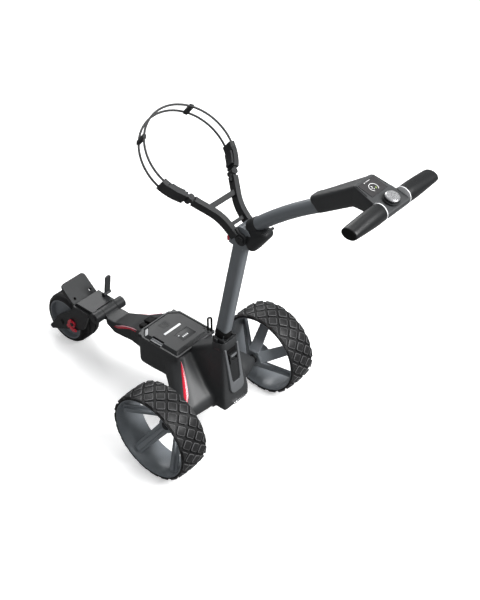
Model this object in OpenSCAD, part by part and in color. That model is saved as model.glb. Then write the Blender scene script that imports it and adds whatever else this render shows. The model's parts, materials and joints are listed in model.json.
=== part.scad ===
// Electric golf trolley: a folding three-wheeler that carries a golf bag.
// Millimetres, +X forward, +Y left, +Z up. The layout is measured from the
// point on the floor below the rear axle, then moved so that the origin is
// the middle of the footprint.

/* [Rear wheels] */
// Diameter over the tread blocks
wheel_d = 288; // [264:1:312]
// Width of a rear tyre
tyre_w = 97; // [88:1:106]
// Width over both rear tyres
overall_w = 590; // [570:1:640]
// Depth of the grooves between the tread blocks
tread_depth = 5; // [3:0.5:7]
// Tread blocks in one row
tread_blocks = 26; // [20:2:32]
// Width of the grooves between the tread blocks
tread_gap = 7; // [5:0.5:9]
// Rubber under the grooves
tyre_wall = 8; // [6:0.5:11]
// Wall of the rim barrel
rim_wall = 4; // [3:0.5:6]
// Thickness of the spoked web
web_t = 12; // [9:0.5:16]
// Spoke pairs in a rear rim
spoke_pairs = 4; // [3:1:5]
// Diameter of the drive axle
axle_d = 12; // [10:0.5:14]

/* [Front wheel] */
// Diameter of the front tyre
front_d = 180; // [166:1:190]
// Width of the front tyre
front_w = 80; // [70:1:84]
// Distance from the rear axle to the front axle
wheelbase = 642; // [630:1:668]

/* [Chassis] */
// Height of the battery tray's rim
rim_z = 270; // [264:1:276]
// Rear edge of the battery tray
tray_x = 78; // [72:1:84]
// Length of the battery tray's rim
tray_len = 174; // [168:1:182]
// Width of the battery tray's rim
tray_w = 168; // [162:1:174]
// Depth of the battery in its tray
tray_depth = 38; // [34:1:42]
// Wall of the moulded shell
shell_wall = 4; // [3:0.5:5]
// Radius of the housing round the drive axle
housing_r = 40; // [38:0.5:43]
// Gap between the axle housing and a rear wheel
housing_gap = 28; // [24:0.5:33]

/* [Lower shaft] */
// Height of the pivot at the foot of the shaft
base_z = 362; // [358:1:368]
// Lean of the shaft to the rear
shaft_lean = 11.6; // [9:0.1:13]
// Distance from the foot pivot to the handle hinge
shaft_len = 407; // [385:1:430]
// Front to back size of the shaft
shaft_a = 42; // [38:1:44]
// Width of the shaft
shaft_b = 34; // [30:1:34]
// Wall of the shaft tube
tube_wall = 3; // [2:0.5:4]
// Radius of the handle hinge
hinge_r = 34; // [33:0.5:36]

/* [Handle] */
// Lean of the handle stem to the rear
stem_lean = 54; // [50:0.5:58]
// Distance from the hinge to the console sleeve
stem_len = 294; // [280:1:310]
// Height of the stem axis above the hinge
stem_off = 27; // [26:0.5:29]
// Distance from the sleeve to the hand grips
console_len = 215; // [210:1:222]
// Length over both hand grips
bar_len = 326; // [306:1:346]
// Diameter of the grips at the console
grip_d = 44; // [42:1:48]
// Diameter of the speed dial
dial_d = 36; // [32:1:38]

/* [Bag support] */
// Radius of the strap loop
loop_r = 135; // [128:1:142]
// Distance from the hinge to the middle of the loop
loop_reach = 267; // [260:1:275]
// Rise of the bag fork to the front
fork_tilt = 40; // [37:0.5:43]
// Distance between the two strap cords
cord_gap = 33; // [29:1:35]
// Diameter of a strap cord
cord_d = 5; // [4:0.5:6]

/* [Front arm] */
// Distance from the rear axle to the front fold tube
tube_x = 467; // [460:1:474]
// Height of the front fold tube
tube_z = 198; // [194:1:202]
// Diameter of the front fold tube
tube_d = 38; // [34:1:40]
// Length of the front fold tube
tube_len = 124; // [118:1:130]
// Rise of the bag rest to the front
rest_tilt = 42; // [38:0.5:46]
// Width of the bag rest
rest_w = 100; // [96:1:104]
// Distance between the two bag sockets
socket_gap = 67; // [60:1:72]
// Diameter of a bag socket
socket_d = 10; // [8:0.5:12]

/* [Hidden] */
$fn = 64;
eps = 0.05;        // clearance of a running fit, on the radius
gap = 0.4;         // clearance between pieces that move past each other
seat = 0.2;        // clearance of a piece that sits in another
step = 0.3;        // offset of a face that would lie in the plane of another
hull_fn = 20;      // facets of the rounded corners that a hull joins

wheel_r = wheel_d / 2;
axle_r = axle_d / 2;
wheel_in = overall_w / 2 - tyre_w;
bed_r = wheel_r - tread_depth - tyre_wall;
housing_y = wheel_in - housing_gap;
front_r = front_d / 2;

base_x = -27;
pin_r = 5;
foot_r = 16;
hinge_back = 13.5;
head_half = 24;
eye_in = head_half + gap;
eye_out = 33;
cap_r = 12;

// Where the handle hinge lies, seen from the rear axle
hinge_x = base_x - shaft_len * sin(shaft_lean) - hinge_back * cos(shaft_lean);
hinge_z = base_z + shaft_len * cos(shaft_lean) - hinge_back * sin(shaft_lean);

// Where the grip bar lies, seen from the handle hinge and along the stem
bar_along = stem_len + console_len;
bar_off = -26;
bar_x = hinge_x - bar_along * sin(stem_lean) + bar_off * cos(stem_lean);
bar_z = hinge_z + bar_along * cos(stem_lean) + bar_off * sin(stem_lean);
grip_r = grip_d / 2;
grip_half = grip_r + 3;

// The layout moves back by the middle of the footprint
mid_x = (wheelbase + front_r + bar_x - grip_half) / 2;

module place() {
    translate([-mid_x, 0, 0]) children();
}
module at_axle() {
    place() translate([0, 0, wheel_r]) children();
}
module at_shaft() {
    place() translate([base_x, 0, base_z]) rotate([0, -shaft_lean, 0]) children();
}
module at_hinge() {
    place() translate([hinge_x, 0, hinge_z]) children();
}
module at_stem() {
    at_hinge() rotate([0, -stem_lean, 0]) children();
}
module at_fork() {
    at_hinge() rotate([0, -fork_tilt, 0]) children();
}
module at_loop() {
    at_fork() translate([loop_reach, 0, loop_drop]) children();
}
module at_bar() {
    place() translate([bar_x, 0, bar_z]) children();
}
module at_tube() {
    place() translate([tube_x, 0, tube_z]) children();
}

// A round bar across the trolley, from y0 to y1
module bar_y(r, y0, y1) {
    translate([0, y0, 0]) rotate([-90, 0, 0]) cylinder(r = r, h = y1 - y0);
}
// The same on both sides
module bars_y(r, y0, y1) {
    bar_y(r, y0, y1);
    bar_y(r, -y1, -y0);
}
// A flat outline in x and z, given thickness across the trolley
module slab_y(y0, y1) {
    translate([0, y1, 0]) rotate([90, 0, 0]) linear_extrude(y1 - y0) children();
}
module both_sides() {
    children();
    mirror([0, 1, 0]) children();
}
// A rectangle with round corners
module round_rect(a, b, r) {
    square([a - 2 * r, b], center = true);
    square([a, b - 2 * r], center = true);
    for (i = [-1, 1], j = [-1, 1])
        translate([i * (a / 2 - r), j * (b / 2 - r)]) circle(r);
}
// A block with ball corners, from low corner to high corner
module soft_block(low, high, r) {
    for (x = [low[0] + r, high[0] - r], y = [low[1] + r, high[1] - r], z = [low[2] + r, high[2] - r])
        translate([x, y, z]) sphere(r, $fn = r > 5 ? hull_fn : 12);
}

/* Rear wheels. Drawn on the left and mirrored for the right. */
row_w = (tyre_w - 2 * tread_gap) / 3;
shoulder = 8;
groove_r = wheel_r - tread_depth;
hub_r = 25;
hub_in = 5 - housing_gap;
hub_out = 26;
axle_in_hub = 10;
rim_turn_left = -8;
rim_turn_right = 10;
button_r = 13;
button_travel = 4;
button_from = axle_in_hub + 2 + button_travel;
web_y = 3;
narrow_deg = 25;
wide_deg = 33;
pair_deg = 360 / spoke_pairs;

module at_wheel() {
    at_axle() translate([0, wheel_in, 0]) rotate([-90, 0, 0]) children();
}
module tyre() {
    at_wheel() difference() {
        rotate_extrude($fn = 128) polygon([
            [bed_r, 0], [groove_r - 2, 0], [wheel_r, shoulder],
            [wheel_r, row_w], [groove_r, row_w], [groove_r, row_w + tread_gap], [wheel_r, row_w + tread_gap],
            [wheel_r, tyre_w - row_w - tread_gap], [groove_r, tyre_w - row_w - tread_gap],
            [groove_r, tyre_w - row_w], [wheel_r, tyre_w - row_w],
            [wheel_r, tyre_w - shoulder], [groove_r - 2, tyre_w], [bed_r, tyre_w]
        ]);
        for (row = [0 : 2], i = [0 : tread_blocks - 1])
            rotate([0, 0, (i + row / 2) * 360 / tread_blocks])
                translate([groove_r - step, -tread_gap / 2, row * (row_w + tread_gap) - 1])
                    cube([2 * tread_depth, tread_gap, row_w + 2]);
    }
}
module spoke_window(deg) {
    inner_r = hub_r + 12;
    outer_r = bed_r - rim_wall - 1.5;
    corner = 5;
    offset(r = corner) offset(delta = -corner) polygon([
        for (t = [-deg / 2 : deg / 8 : deg / 2]) outer_r * [cos(t), sin(t)],
        inner_r * [cos(deg / 4), sin(deg / 4)],
        inner_r * [cos(deg / 4), -sin(deg / 4)]
    ]);
}
module rim(turn) {
    at_wheel() rotate([0, 0, turn]) difference() {
        union() {
            rotate_extrude($fn = 128) polygon([
                [bed_r - eps, 0.5], [bed_r - eps, tyre_w - 0.5], [bed_r - rim_wall + 1, tyre_w - 0.5],
                [bed_r - rim_wall, tyre_w - 6], [bed_r - rim_wall - 3, web_y + web_t],
                [hub_r - 1, web_y + web_t + 4], [hub_r - 1, web_y], [bed_r - rim_wall - 3, web_y],
                [bed_r - rim_wall, 0.5]
            ]);
            translate([0, 0, hub_in]) cylinder(r = hub_r, h = hub_out - hub_in);
            for (k = [0 : spoke_pairs - 1], s = [-1, 1])
                rotate([0, 0, k * pair_deg + s * (narrow_deg / 2 + 9)]) spoke_foot();
        }
        for (k = [0 : spoke_pairs - 1]) {
            rotate([0, 0, k * pair_deg]) translate([0, 0, -1])
                linear_extrude(web_t + 12) spoke_window(narrow_deg);
            rotate([0, 0, (k + 0.5) * pair_deg]) translate([0, 0, -1])
                linear_extrude(web_t + 12) spoke_window(wide_deg);
        }
        translate([0, 0, hub_in - 1]) cylinder(r = axle_r + eps, h = axle_in_hub - hub_in + 2);
        translate([0, 0, button_from - button_travel - 0.5]) cylinder(r = button_r + gap, h = hub_out);
    }
}
// The fin on a spoke, which widens and rises from the hub to its foot on the barrel
module spoke_foot() {
    hub_t = 12;
    foot_t = 25;
    from = hub_r - 3;
    to = bed_r - rim_wall + 1.5;
    low = web_y + web_t - 1;
    intersection() {
        translate([0, foot_t / 2, 0]) rotate([90, 0, 0]) linear_extrude(foot_t) polygon([
            [from, low], [to, low], [to, tyre_w * 0.76], [from, low + 7]
        ]);
        translate([0, 0, low]) linear_extrude(tyre_w) polygon([
            [from, -hub_t / 2], [to, -foot_t / 2], [to, foot_t / 2], [from, hub_t / 2]
        ]);
    }
}
module release_button() {
    at_wheel() translate([0, 0, button_from]) {
        cylinder(r = button_r, h = hub_out - button_from + 1);
        translate([0, 0, hub_out - button_from + 1]) cylinder(r1 = button_r, r2 = button_r - 2, h = 2);
    }
}
module tyre_left() { color("#2b2b2b") tyre(); }
module tyre_right() { color("#2b2b2b") mirror([0, 1, 0]) tyre(); }
module rim_left() { color("#4b5056") rim(rim_turn_left); }
module rim_right() { color("#4b5056") mirror([0, 1, 0]) rim(rim_turn_right); }
module release_left() { color("#2b2d30") release_button(); }
module release_right() { color("#2b2d30") mirror([0, 1, 0]) release_button(); }

/* Drive: one motor, one pair of gears, one axle in two flanged bushes. */
gear_mod = 1.5;
gear_teeth = 40;
pinion_teeth = 12;
pressure = 25;
gear_w = 12;
backlash = 0.25;
centre_dist = gear_mod * (gear_teeth + pinion_teeth) / 2 + 0.2;
motor_deg = 25;
motor_r = 25;
motor_len = 48;
motor_shaft_r = 3;
case_wall = 3;
case_y = gear_w / 2 + case_wall + 2;
gear_case_r = gear_mod * (gear_teeth / 2 + 1) + 1.5;
pinion_case_r = gear_mod * (pinion_teeth / 2 + 1) + 1.5;
bush_r = 11;
bush_flange = 3;

function involute(base, t) = base * [cos(t) + t * PI / 180 * sin(t), sin(t) - t * PI / 180 * cos(t)];
function turn(p, a) = [p[0] * cos(a) - p[1] * sin(a), p[0] * sin(a) + p[1] * cos(a)];
function roll(base, r) = sqrt(max(0, r * r / (base * base) - 1)) * 180 / PI;

module gear_outline(teeth) {
    pitch_r = gear_mod * teeth / 2;
    base = pitch_r * cos(pressure);
    tip = pitch_r + 0.8 * gear_mod;
    root = pitch_r - 1.1 * gear_mod;
    start = max(base, root);
    at_pitch = roll(base, pitch_r);
    flank = at_pitch - atan2(at_pitch * PI / 180, 1);
    half = 90 / teeth - backlash / 2 / pitch_r * 180 / PI + flank;
    steps = 5;
    side = [for (i = [0 : steps])
        turn(involute(base, roll(base, start + (tip - start) * i / steps)), -half)];
    polygon([for (k = [0 : teeth - 1]) each concat(
        [turn([root, 0], k * 360 / teeth - 180 / teeth + 20 / teeth), turn(root * side[0] / norm(side[0]), k * 360 / teeth)],
        [for (p = side) turn(p, k * 360 / teeth)],
        [for (i = [steps : -1 : 0]) turn([side[i][0], -side[i][1]], k * 360 / teeth)],
        [turn(root * [side[0][0], -side[0][1]] / norm(side[0]), k * 360 / teeth)]
    )]);
}
module at_motor() {
    at_axle() rotate([0, -motor_deg, 0]) translate([centre_dist, 0, 0]) children();
}
module gear_y(teeth, w) {
    rotate([90, 0, 0]) translate([0, 0, -w / 2]) linear_extrude(w) gear_outline(teeth);
}
module drive_axle() {
    color("silver") at_axle() bar_y(axle_r, -wheel_in - axle_in_hub, wheel_in + axle_in_hub);
}
module drive_gear() {
    color("gold") at_axle() difference() {
        union() {
            rotate([0, -motor_deg, 0]) gear_y(gear_teeth, gear_w);
            bar_y(axle_r + 5, -gear_w / 2 - 1.5, gear_w / 2 + 1.5);
        }
        bar_y(axle_r + 0.01, -gear_w, gear_w);
    }
}
module motor_pinion() {
    color("gold") at_motor() difference() {
        rotate([0, 180 / pinion_teeth, 0]) gear_y(pinion_teeth, gear_w);
        bar_y(motor_shaft_r + eps, -gear_w, gear_w);
    }
}
module motor() {
    color("#55585c") at_motor() {
        bar_y(motor_r, case_y, case_y + motor_len);
        bar_y(motor_r - 6, case_y + motor_len, case_y + motor_len + 4);
        bar_y(motor_shaft_r, -gear_w / 2 - 1, case_y);
    }
}
module gearbox_form(grow, y) {
    neck = pinion_case_r + grow - 1;
    at_axle() bar_y(gear_case_r + grow, -y, y);
    at_motor() bar_y(pinion_case_r + grow, -y + step, y - step);
    at_axle() rotate([0, -motor_deg, 0]) translate([0, -y + 2 * step, -neck])
        cube([centre_dist, 2 * (y - 2 * step), 2 * neck]);
}
module gearbox_case() {
    color("#707478") difference() {
        union() {
            gearbox_form(case_wall, case_y);
            place() translate([-8, -case_y, belly_low + shell_wall + seat])
                cube([16, 2 * case_y, wheel_r - gear_case_r - belly_low - shell_wall]);
        }
        gearbox_form(0, gear_w / 2 + 2);
        at_axle() bar_y(axle_r + 1, -case_y - 1, case_y + 1);
        at_motor() bar_y(motor_shaft_r + 1, -case_y - 1, case_y + 1);
    }
}
module axle_bearings() {
    color("#b08d57") at_axle() both_sides() difference() {
        union() {
            bar_y(bush_r, housing_y - shell_wall, housing_y);
            bar_y(bush_r + 4, housing_y, housing_y + bush_flange);
        }
        bar_y(axle_r + eps, housing_y - shell_wall - 1, housing_y + bush_flange + 1);
    }
}

/* Chassis: a moulded shell over a pan, with the battery tray on top. */
column_z = base_z - foot_r - 10;
column_back = -58;
column_front = 8;
column_half = 31;
belly_low = 100;
belly_half = 72;
flank_low = 157;
pan_z = 118;
leg_root = 46;
tray_end = tray_x + tray_len;
tray_half = tray_w / 2;
flange_t = 8;
tray_in = 6;
box_half = tray_half - tray_in;
box_low = rim_z - flange_t - tray_depth;
tray_floor = 4;
tray_wall = 3;
form_r = 10;

// The column that carries the shaft
module column_form(t, r) {
    place() hull() {
        soft_block([column_back + t, -column_half + t, column_z - 30],
                   [column_front - t, column_half - t, column_z - t], r - t);
        soft_block([column_back - 30 + t, -column_half - 15 + t, 126 + t], [-12, column_half + 15 - t, 170], r - t);
    }
}
// The outer form of the chassis, drawn in by t for its inside
module chassis_form(t) {
    r = form_r;
    at_axle() bar_y(housing_r - t, -housing_y + t, housing_y - t);
    place() hull() {
        soft_block([tray_x + 6 + t, -tray_half + 4 + t, flank_low + 12 + t],
                   [tray_end - 4 - t, tray_half - 4 - t, rim_z - flange_t - t], r - t);
        soft_block([tray_end - 60 + t, -tray_half + 6 + t, flank_low + t],
                   [tray_end - 6 - t, tray_half - 6 - t, flank_low + 40 - t], r - t);
    }
    place() hull() {
        soft_block([-34 + t, -belly_half + t, belly_low + t], [78 - t, belly_half - t, 192 - t], r - t);
        soft_block([tray_x + 10 + t, -belly_half + t, flank_low + 14 + t], [tray_x + 80 - t, belly_half - t, 210 - t], r - t);
    }
    both_sides() place() hull() {
        soft_block([tray_x - 16 + t, tray_half - 36 + t, 204 + t],
                   [tray_x + 68 - t, tray_half - 2 - t, rim_z - flange_t - t], r - t);
        translate([0, 0, wheel_r]) bar_y(housing_r - t, housing_y - leg_root, housing_y - t);
    }
    column_form(t, r);
    place() hull() {
        soft_block([40 + t, -tray_half + 20 + t, 226 + t],
                   [tray_x + 30 - t, tray_half - 20 - t, rim_z - flange_t - t], r - t);
        soft_block([-34 + t, -column_half + 2 + t, 240 + t], [4 - t, column_half - 2 - t, 300 - t], r - t);
    }
}
module tray_box(grow) {
    place() translate([tray_x + tray_in - grow, -box_half - grow, box_low - tray_floor - grow])
        cube([tray_len - 2 * tray_in + 2 * grow, 2 * (box_half + grow), tray_depth + tray_floor + 2 * grow + flange_t]);
}
module chassis_shell() {
    color("#3a3c3e") difference() {
        chassis_form(0);
        chassis_form(shell_wall);
        tray_box(seat);
        tray_flange_room();
        place() translate([-400, -400, 0]) cube([800, 800, pan_z]);
        at_axle() bar_y(bush_r + eps, -wheel_in, wheel_in);
    }
}
module chassis_pan() {
    color("#2c2d2f") difference() {
        intersection() {
            chassis_form(0);
            place() translate([-400, -400, 0]) cube([800, 800, pan_z - seat]);
        }
        chassis_form(shell_wall);
    }
}
module rim_outline(inset) {
    cut = 26;
    x0 = tray_x + inset;
    x1 = tray_end - inset;
    y1 = tray_half - inset;
    offset(r = 4, $fn = 32) offset(delta = -4) polygon([
        [x0, -y1], [x1 - cut, -y1], [x1, -y1 + cut], [x1, y1 - cut], [x1 - cut, y1], [x0, y1]
    ]);
}
module battery_tray() {
    color("#2a2b2c") difference() {
        union() {
            tray_box(0);
            place() translate([0, 0, rim_z - flange_t]) linear_extrude(flange_t) rim_outline(0);
            for (x = [board_x0 + 6, board_x1 - 6], y = [-board_half + 6, board_half - 6])
                place() translate([x, y, board_z]) cylinder(r = 4, h = box_low - tray_floor - board_z + 1, $fn = 24);
        }
        place() translate([0, 0, box_low]) linear_extrude(tray_depth + 1) rim_outline(tray_in + tray_wall);
        place() translate([0, 0, rim_z - flange_t]) linear_extrude(flange_t + 1) rim_outline(tray_in - 1);
        place() translate([catch_x0, tray_half - tray_in - 1, rim_z - flange_t + 2]) cube([catch_len, tray_in, flange_t]);
    }
}
board_z = 206;
board_x0 = tray_x + 34;
board_x1 = tray_x + 128;
board_half = 46;
module controller_board() {
    color("#1f5c3a") place() translate([board_x0, -board_half, board_z - 2])
        cube([board_x1 - board_x0, 2 * board_half, 2]);
}

/* Battery */
lid_h = 15;
catch_len = 46;
catch_x0 = tray_x + 72;
batt_gap = 1;
lid_z = rim_z - flange_t;

module battery_case() {
    color("#303234") place() translate([0, 0, box_low]) linear_extrude(lid_z - box_low)
        rim_outline(tray_in + tray_wall + batt_gap);
}
module lid_form() {
    inset = tray_in + batt_gap;
    place() hull() {
        translate([0, 0, lid_z]) linear_extrude(flange_t - 3) rim_outline(inset - 0.5);
        translate([0, 0, lid_z + lid_h - 1]) linear_extrude(1) rim_outline(inset + 8);
    }
}
module battery_lid() {
    color("#37393b") difference() {
        lid_form();
        place() translate([tray_x + 33, -35, lid_z + lid_h - 1.5]) cube([40, 55, 2]);
        place() translate([tray_x + 93, -34, lid_z + lid_h - 1]) cube([9, 72, 2]);
        place() translate([tray_x + 14, -70, lid_z + lid_h - 1.2]) cube([3, 140, 2]);
        place() translate([catch_x0 - gap, catch_y - 6, lid_z + 2]) cube([catch_len + 2 * gap, 40, lid_h]);
        place() translate([catch_x0 - 4, catch_y, catch_z]) rotate([0, 90, 0]) cylinder(r = 2 + eps, h = catch_len + 8);
        loop_hole();
    }
}
catch_y = tray_half - tray_in - 9;
catch_z = lid_z + 7;
module battery_catch() {
    color("silver") place() translate([catch_x0, catch_y, catch_z]) {
        translate([-3, 0, 0]) rotate([0, 90, 0]) cylinder(r = 2, h = catch_len + 6);
        rotate([0, 90, 0]) cylinder(r = 4, h = catch_len);
        translate([0, 0, -2.5]) cube([catch_len, 9, 4]);
    }
}
// A bent wire handle at the right rear corner of the battery
loop_w = 15;
loop_h = 46;
wire_r = 2.4;
loop_x = tray_x + 18;
loop_y = -tray_half + 21;
module loop_hole() {
    place() for (s = [-1, 1]) translate([loop_x + s * loop_w / 2, loop_y, lid_z + 2])
        cylinder(r = wire_r + eps, h = lid_h);
}
module battery_loop() {
    leg = loop_h - loop_w / 2;
    color("#151515") place() translate([loop_x, loop_y, lid_z + 2]) {
        for (s = [-1, 1]) translate([s * loop_w / 2, 0, 0]) cylinder(r = wire_r, h = leg);
        translate([0, 0, leg]) rotate([90, 0, 0]) rotate_extrude(angle = 180)
            translate([loop_w / 2, 0]) circle(wire_r);
    }
}

/* Trims, the rear cover and the latch of the shaft. */
trim_r = 5;
module trim_run(points) {
    for (i = [0 : len(points) - 2]) hull() {
        translate(points[i]) sphere(trim_r, $fn = 12);
        translate(points[i + 1]) sphere(trim_r, $fn = 12);
    }
}
// The ridge of a leg, from the tray's rear corner down to the axle housing
ridge_top = [tray_x - 10, tray_half - 4, rim_z - flange_t - 4];
ridge_end = [-0.12 * housing_r, housing_y - 0.63 * leg_root, wheel_r + 1.25 * housing_r];
module side_trims() {
    color("#c4243a") difference() {
        both_sides() place() trim_run([for (t = [0.03, 0.5, 1]) (1 - t) * ridge_top + t * ridge_end]);
        chassis_form(0);
    }
}
module arm_trims() {
    color("#c4243a") difference() {
        both_sides() place() trim_run([
            [tube_x - 70, arm_half, tube_z - 9], [tray_end + 86, arm_half + 6, tube_z + 20],
            [tray_end + 36, arm_half + 17, rim_z - 31]
        ]);
        arm_form();
    }
}
cover_lean = atan2(30, column_z - 156);
cover_half = 29;
cover_t = 6;
cover_len = 162;
slot_half = 17;
cover_rise = 14;
latch_len = 30;
latch_z = 32;
// The rear face of the column above its middle, with z up along the face and x out of it to the front
module at_cover() {
    place() translate([column_back - 15 + cover_rise * tan(cover_lean), 0, (column_z + 146) / 2 + cover_rise])
        rotate([0, cover_lean, 0]) children();
}
module cover_outline() {
    difference() {
        round_rect(2 * cover_half, cover_len, 20);
        translate([0, 0.136 * cover_len]) round_rect(2 * slot_half, 0.68 * cover_len, 6);
    }
}
module rear_cover() {
    color("#6a6d70") difference() {
        at_cover() translate([-cover_t, 0, 0]) rotate([90, 0, 90]) linear_extrude(2 * cover_t + 6) cover_outline();
        column_form(0, form_r);
        at_axle() bar_y(housing_r, -cover_half - 1, cover_half + 1);
    }
}
module shaft_latch() {
    color("#222325") at_cover() difference() {
        translate([-cover_t - 3, -slot_half + gap, latch_z]) cube([cover_t + 2, 2 * (slot_half - gap), latch_len]);
        translate([-cover_t - 4, -slot_half + 5, latch_z + 8]) cube([6, 2 * slot_half - 10, 12]);
    }
}

/* Front arm, from the tray to the fold tube. */
arm_half = 36;
tube_r = tube_d / 2;
arm_eye = 28;
front_pin_r = 8;
module arm_form() {
    place() hull() {
        soft_block([tray_end - 6, -tray_half + 18, 196], [tray_end + 4, tray_half - 18, rim_z - flange_t], 5);
        soft_block([tray_end + 60, -arm_half - 8, 176], [tray_end + 70, arm_half + 8, 232], 5);
    }
    place() hull() {
        soft_block([tray_end + 60, -arm_half - 8, 176], [tray_end + 70, arm_half + 8, 232], 5);
        soft_block([tube_x - 68, -arm_half, tube_z - 40], [tube_x - 58, arm_half, tube_z + 2], 5);
    }
    place() hull() {
        soft_block([tube_x - 68, -arm_half, tube_z - 40], [tube_x - 58, arm_half, tube_z + 2], 5);
        soft_block([tube_x - 36, -arm_half, tube_z - 22], [tube_x - 25, arm_half, tube_z + 2], 4);
    }
    at_tube() {
        bar_y(tube_r, -arm_eye, arm_eye);
        translate([-arm_eye, -arm_eye, -tube_r + 4]) cube([arm_eye, 2 * arm_eye, tube_r - 2]);
    }
}
module front_arm() {
    color("#2f3133") difference() {
        arm_form();
        chassis_form(0);
        at_tube() bar_y(front_pin_r + 0.01, -tube_len, tube_len);
        tray_flange_room();
        for (s = [-1, 1]) place() translate([tray_end + 16, s * 20, 180]) linear_extrude(120) round_rect(26, 11, 4);
    }
}
module tray_flange_room() {
    place() translate([0, 0, rim_z - flange_t]) linear_extrude(flange_t + 20) rim_outline(-seat);
}
module front_pin() {
    color("silver") at_tube() bar_y(front_pin_r, -tube_len / 2 - 2, tube_len / 2 + 2);
}

/* Socket and foot of the shaft. */
socket_in = shaft_b / 2 + 0.9;
socket_out = column_half - 1;
module cheek_outline() {
    hull() {
        translate([column_back + 2, column_z]) square([column_front - column_back - 4, 8]);
        translate([column_back + 9, base_z - 6]) circle(7);
        translate([base_x, base_z]) circle(foot_r);
        translate([column_front - 9, base_z - 10]) circle(7);
    }
}
module shaft_socket() {
    color("#161718") difference() {
        union() {
            place() translate([column_back + 2, -socket_out, column_z]) cube([column_front - column_back - 4, 2 * socket_out, 5]);
            place() translate([column_back + 2, -socket_out, column_z]) cube([7, 2 * socket_out, base_z - column_z]);
            both_sides() place() slab_y(socket_in, socket_out) cheek_outline();
        }
        place() translate([base_x, 0, base_z]) bar_y(pin_r + 0.01, -50, 50);
    }
}
module base_pin() {
    color("silver") place() translate([base_x, 0, base_z]) {
        bar_y(pin_r, -socket_out, socket_out);
        bars_y(pin_r + 3, socket_out, socket_out + 2.5);
    }
}
tube_from = 21;
plug_len = 42;
head_from = shaft_len - hinge_r - 6;
module tube_outline(inset) {
    round_rect(shaft_a - 2 * inset, shaft_b - 2 * inset, 11 - inset);
}
module lower_shaft() {
    color("#4a4f54") at_shaft() translate([0, 0, tube_from]) linear_extrude(head_from - tube_from) difference() {
        tube_outline(0);
        tube_outline(tube_wall);
    }
}
module shaft_foot() {
    color("#3d4145") at_shaft() difference() {
        union() {
            bar_y(foot_r, -shaft_b / 2, shaft_b / 2);
            translate([-foot_r, -shaft_b / 2, 0]) cube([2 * foot_r, shaft_b, tube_from]);
            linear_extrude(tube_from + plug_len) tube_outline(tube_wall + seat);
        }
        bar_y(pin_r + eps, -50, 50);
    }
}
module shaft_head() {
    color("#2b2d2f") difference() {
        at_shaft() difference() {
            union() {
                translate([0, 0, head_from - plug_len]) linear_extrude(plug_len) tube_outline(tube_wall + seat);
                translate([-shaft_a / 2, -head_half, head_from]) cube([shaft_a + 5, 2 * head_half, hinge_r - 8]);
                translate([-hinge_back, 0, shaft_len]) bar_y(hinge_r, -head_half, head_half);
            }
            translate([-hinge_back, 0, shaft_len]) bar_y(pin_r + 0.01, -50, 50);
            translate([tab_from - tab_travel - 1, -tab_half - gap, tab_z - gap])
                cube([60, 2 * (tab_half + gap), tab_len + 2 * gap]);
        }
        at_stem() translate([hook_x - 3, -hook_half - gap, root_end - hook_len - 2]) cube([60, 2 * (hook_half + gap), 60]);
    }
}
tab_half = 7;
tab_len = 15;
tab_travel = 5;
tab_from = shaft_a / 2 - 8;
tab_z = head_from + 5;
module release_tab() {
    color("#d0273c") at_shaft() slab_y(-tab_half, tab_half) polygon([
        [tab_from, tab_z], [tab_from + 27, tab_z], [tab_from + 20, tab_z + tab_len], [tab_from, tab_z + tab_len]
    ]);
}
module bag_pin() {
    color("#202122") at_hinge() {
        bar_y(pin_r, -eye_out - 1, eye_out + 1);
        difference() {
            bars_y(cap_r, eye_out + gap, eye_out + gap + 4);
            for (s = [-1, 1], t = [-1, 1]) translate([0, s * (eye_out + gap + 4), t * 7]) bar_y(2, -1.5, 1.5);
        }
    }
}

/* Bag support: a wishbone, two cradles and a loop of two cords. */
loop_drop = -6;
arm_t = 15;
arm_high = 28;
knuckle_deg = 141;
cradle_end = 112;
cradle_in = loop_r - 13;
cradle_out = loop_r + 7;
pivot_r = 4;
knuckle_r = 9;
knuckle_x = loop_reach + loop_r * cos(knuckle_deg);
knuckle_y = loop_r * sin(knuckle_deg);
cord_r = cord_d / 2;
cord_z = cord_gap / 2;

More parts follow.
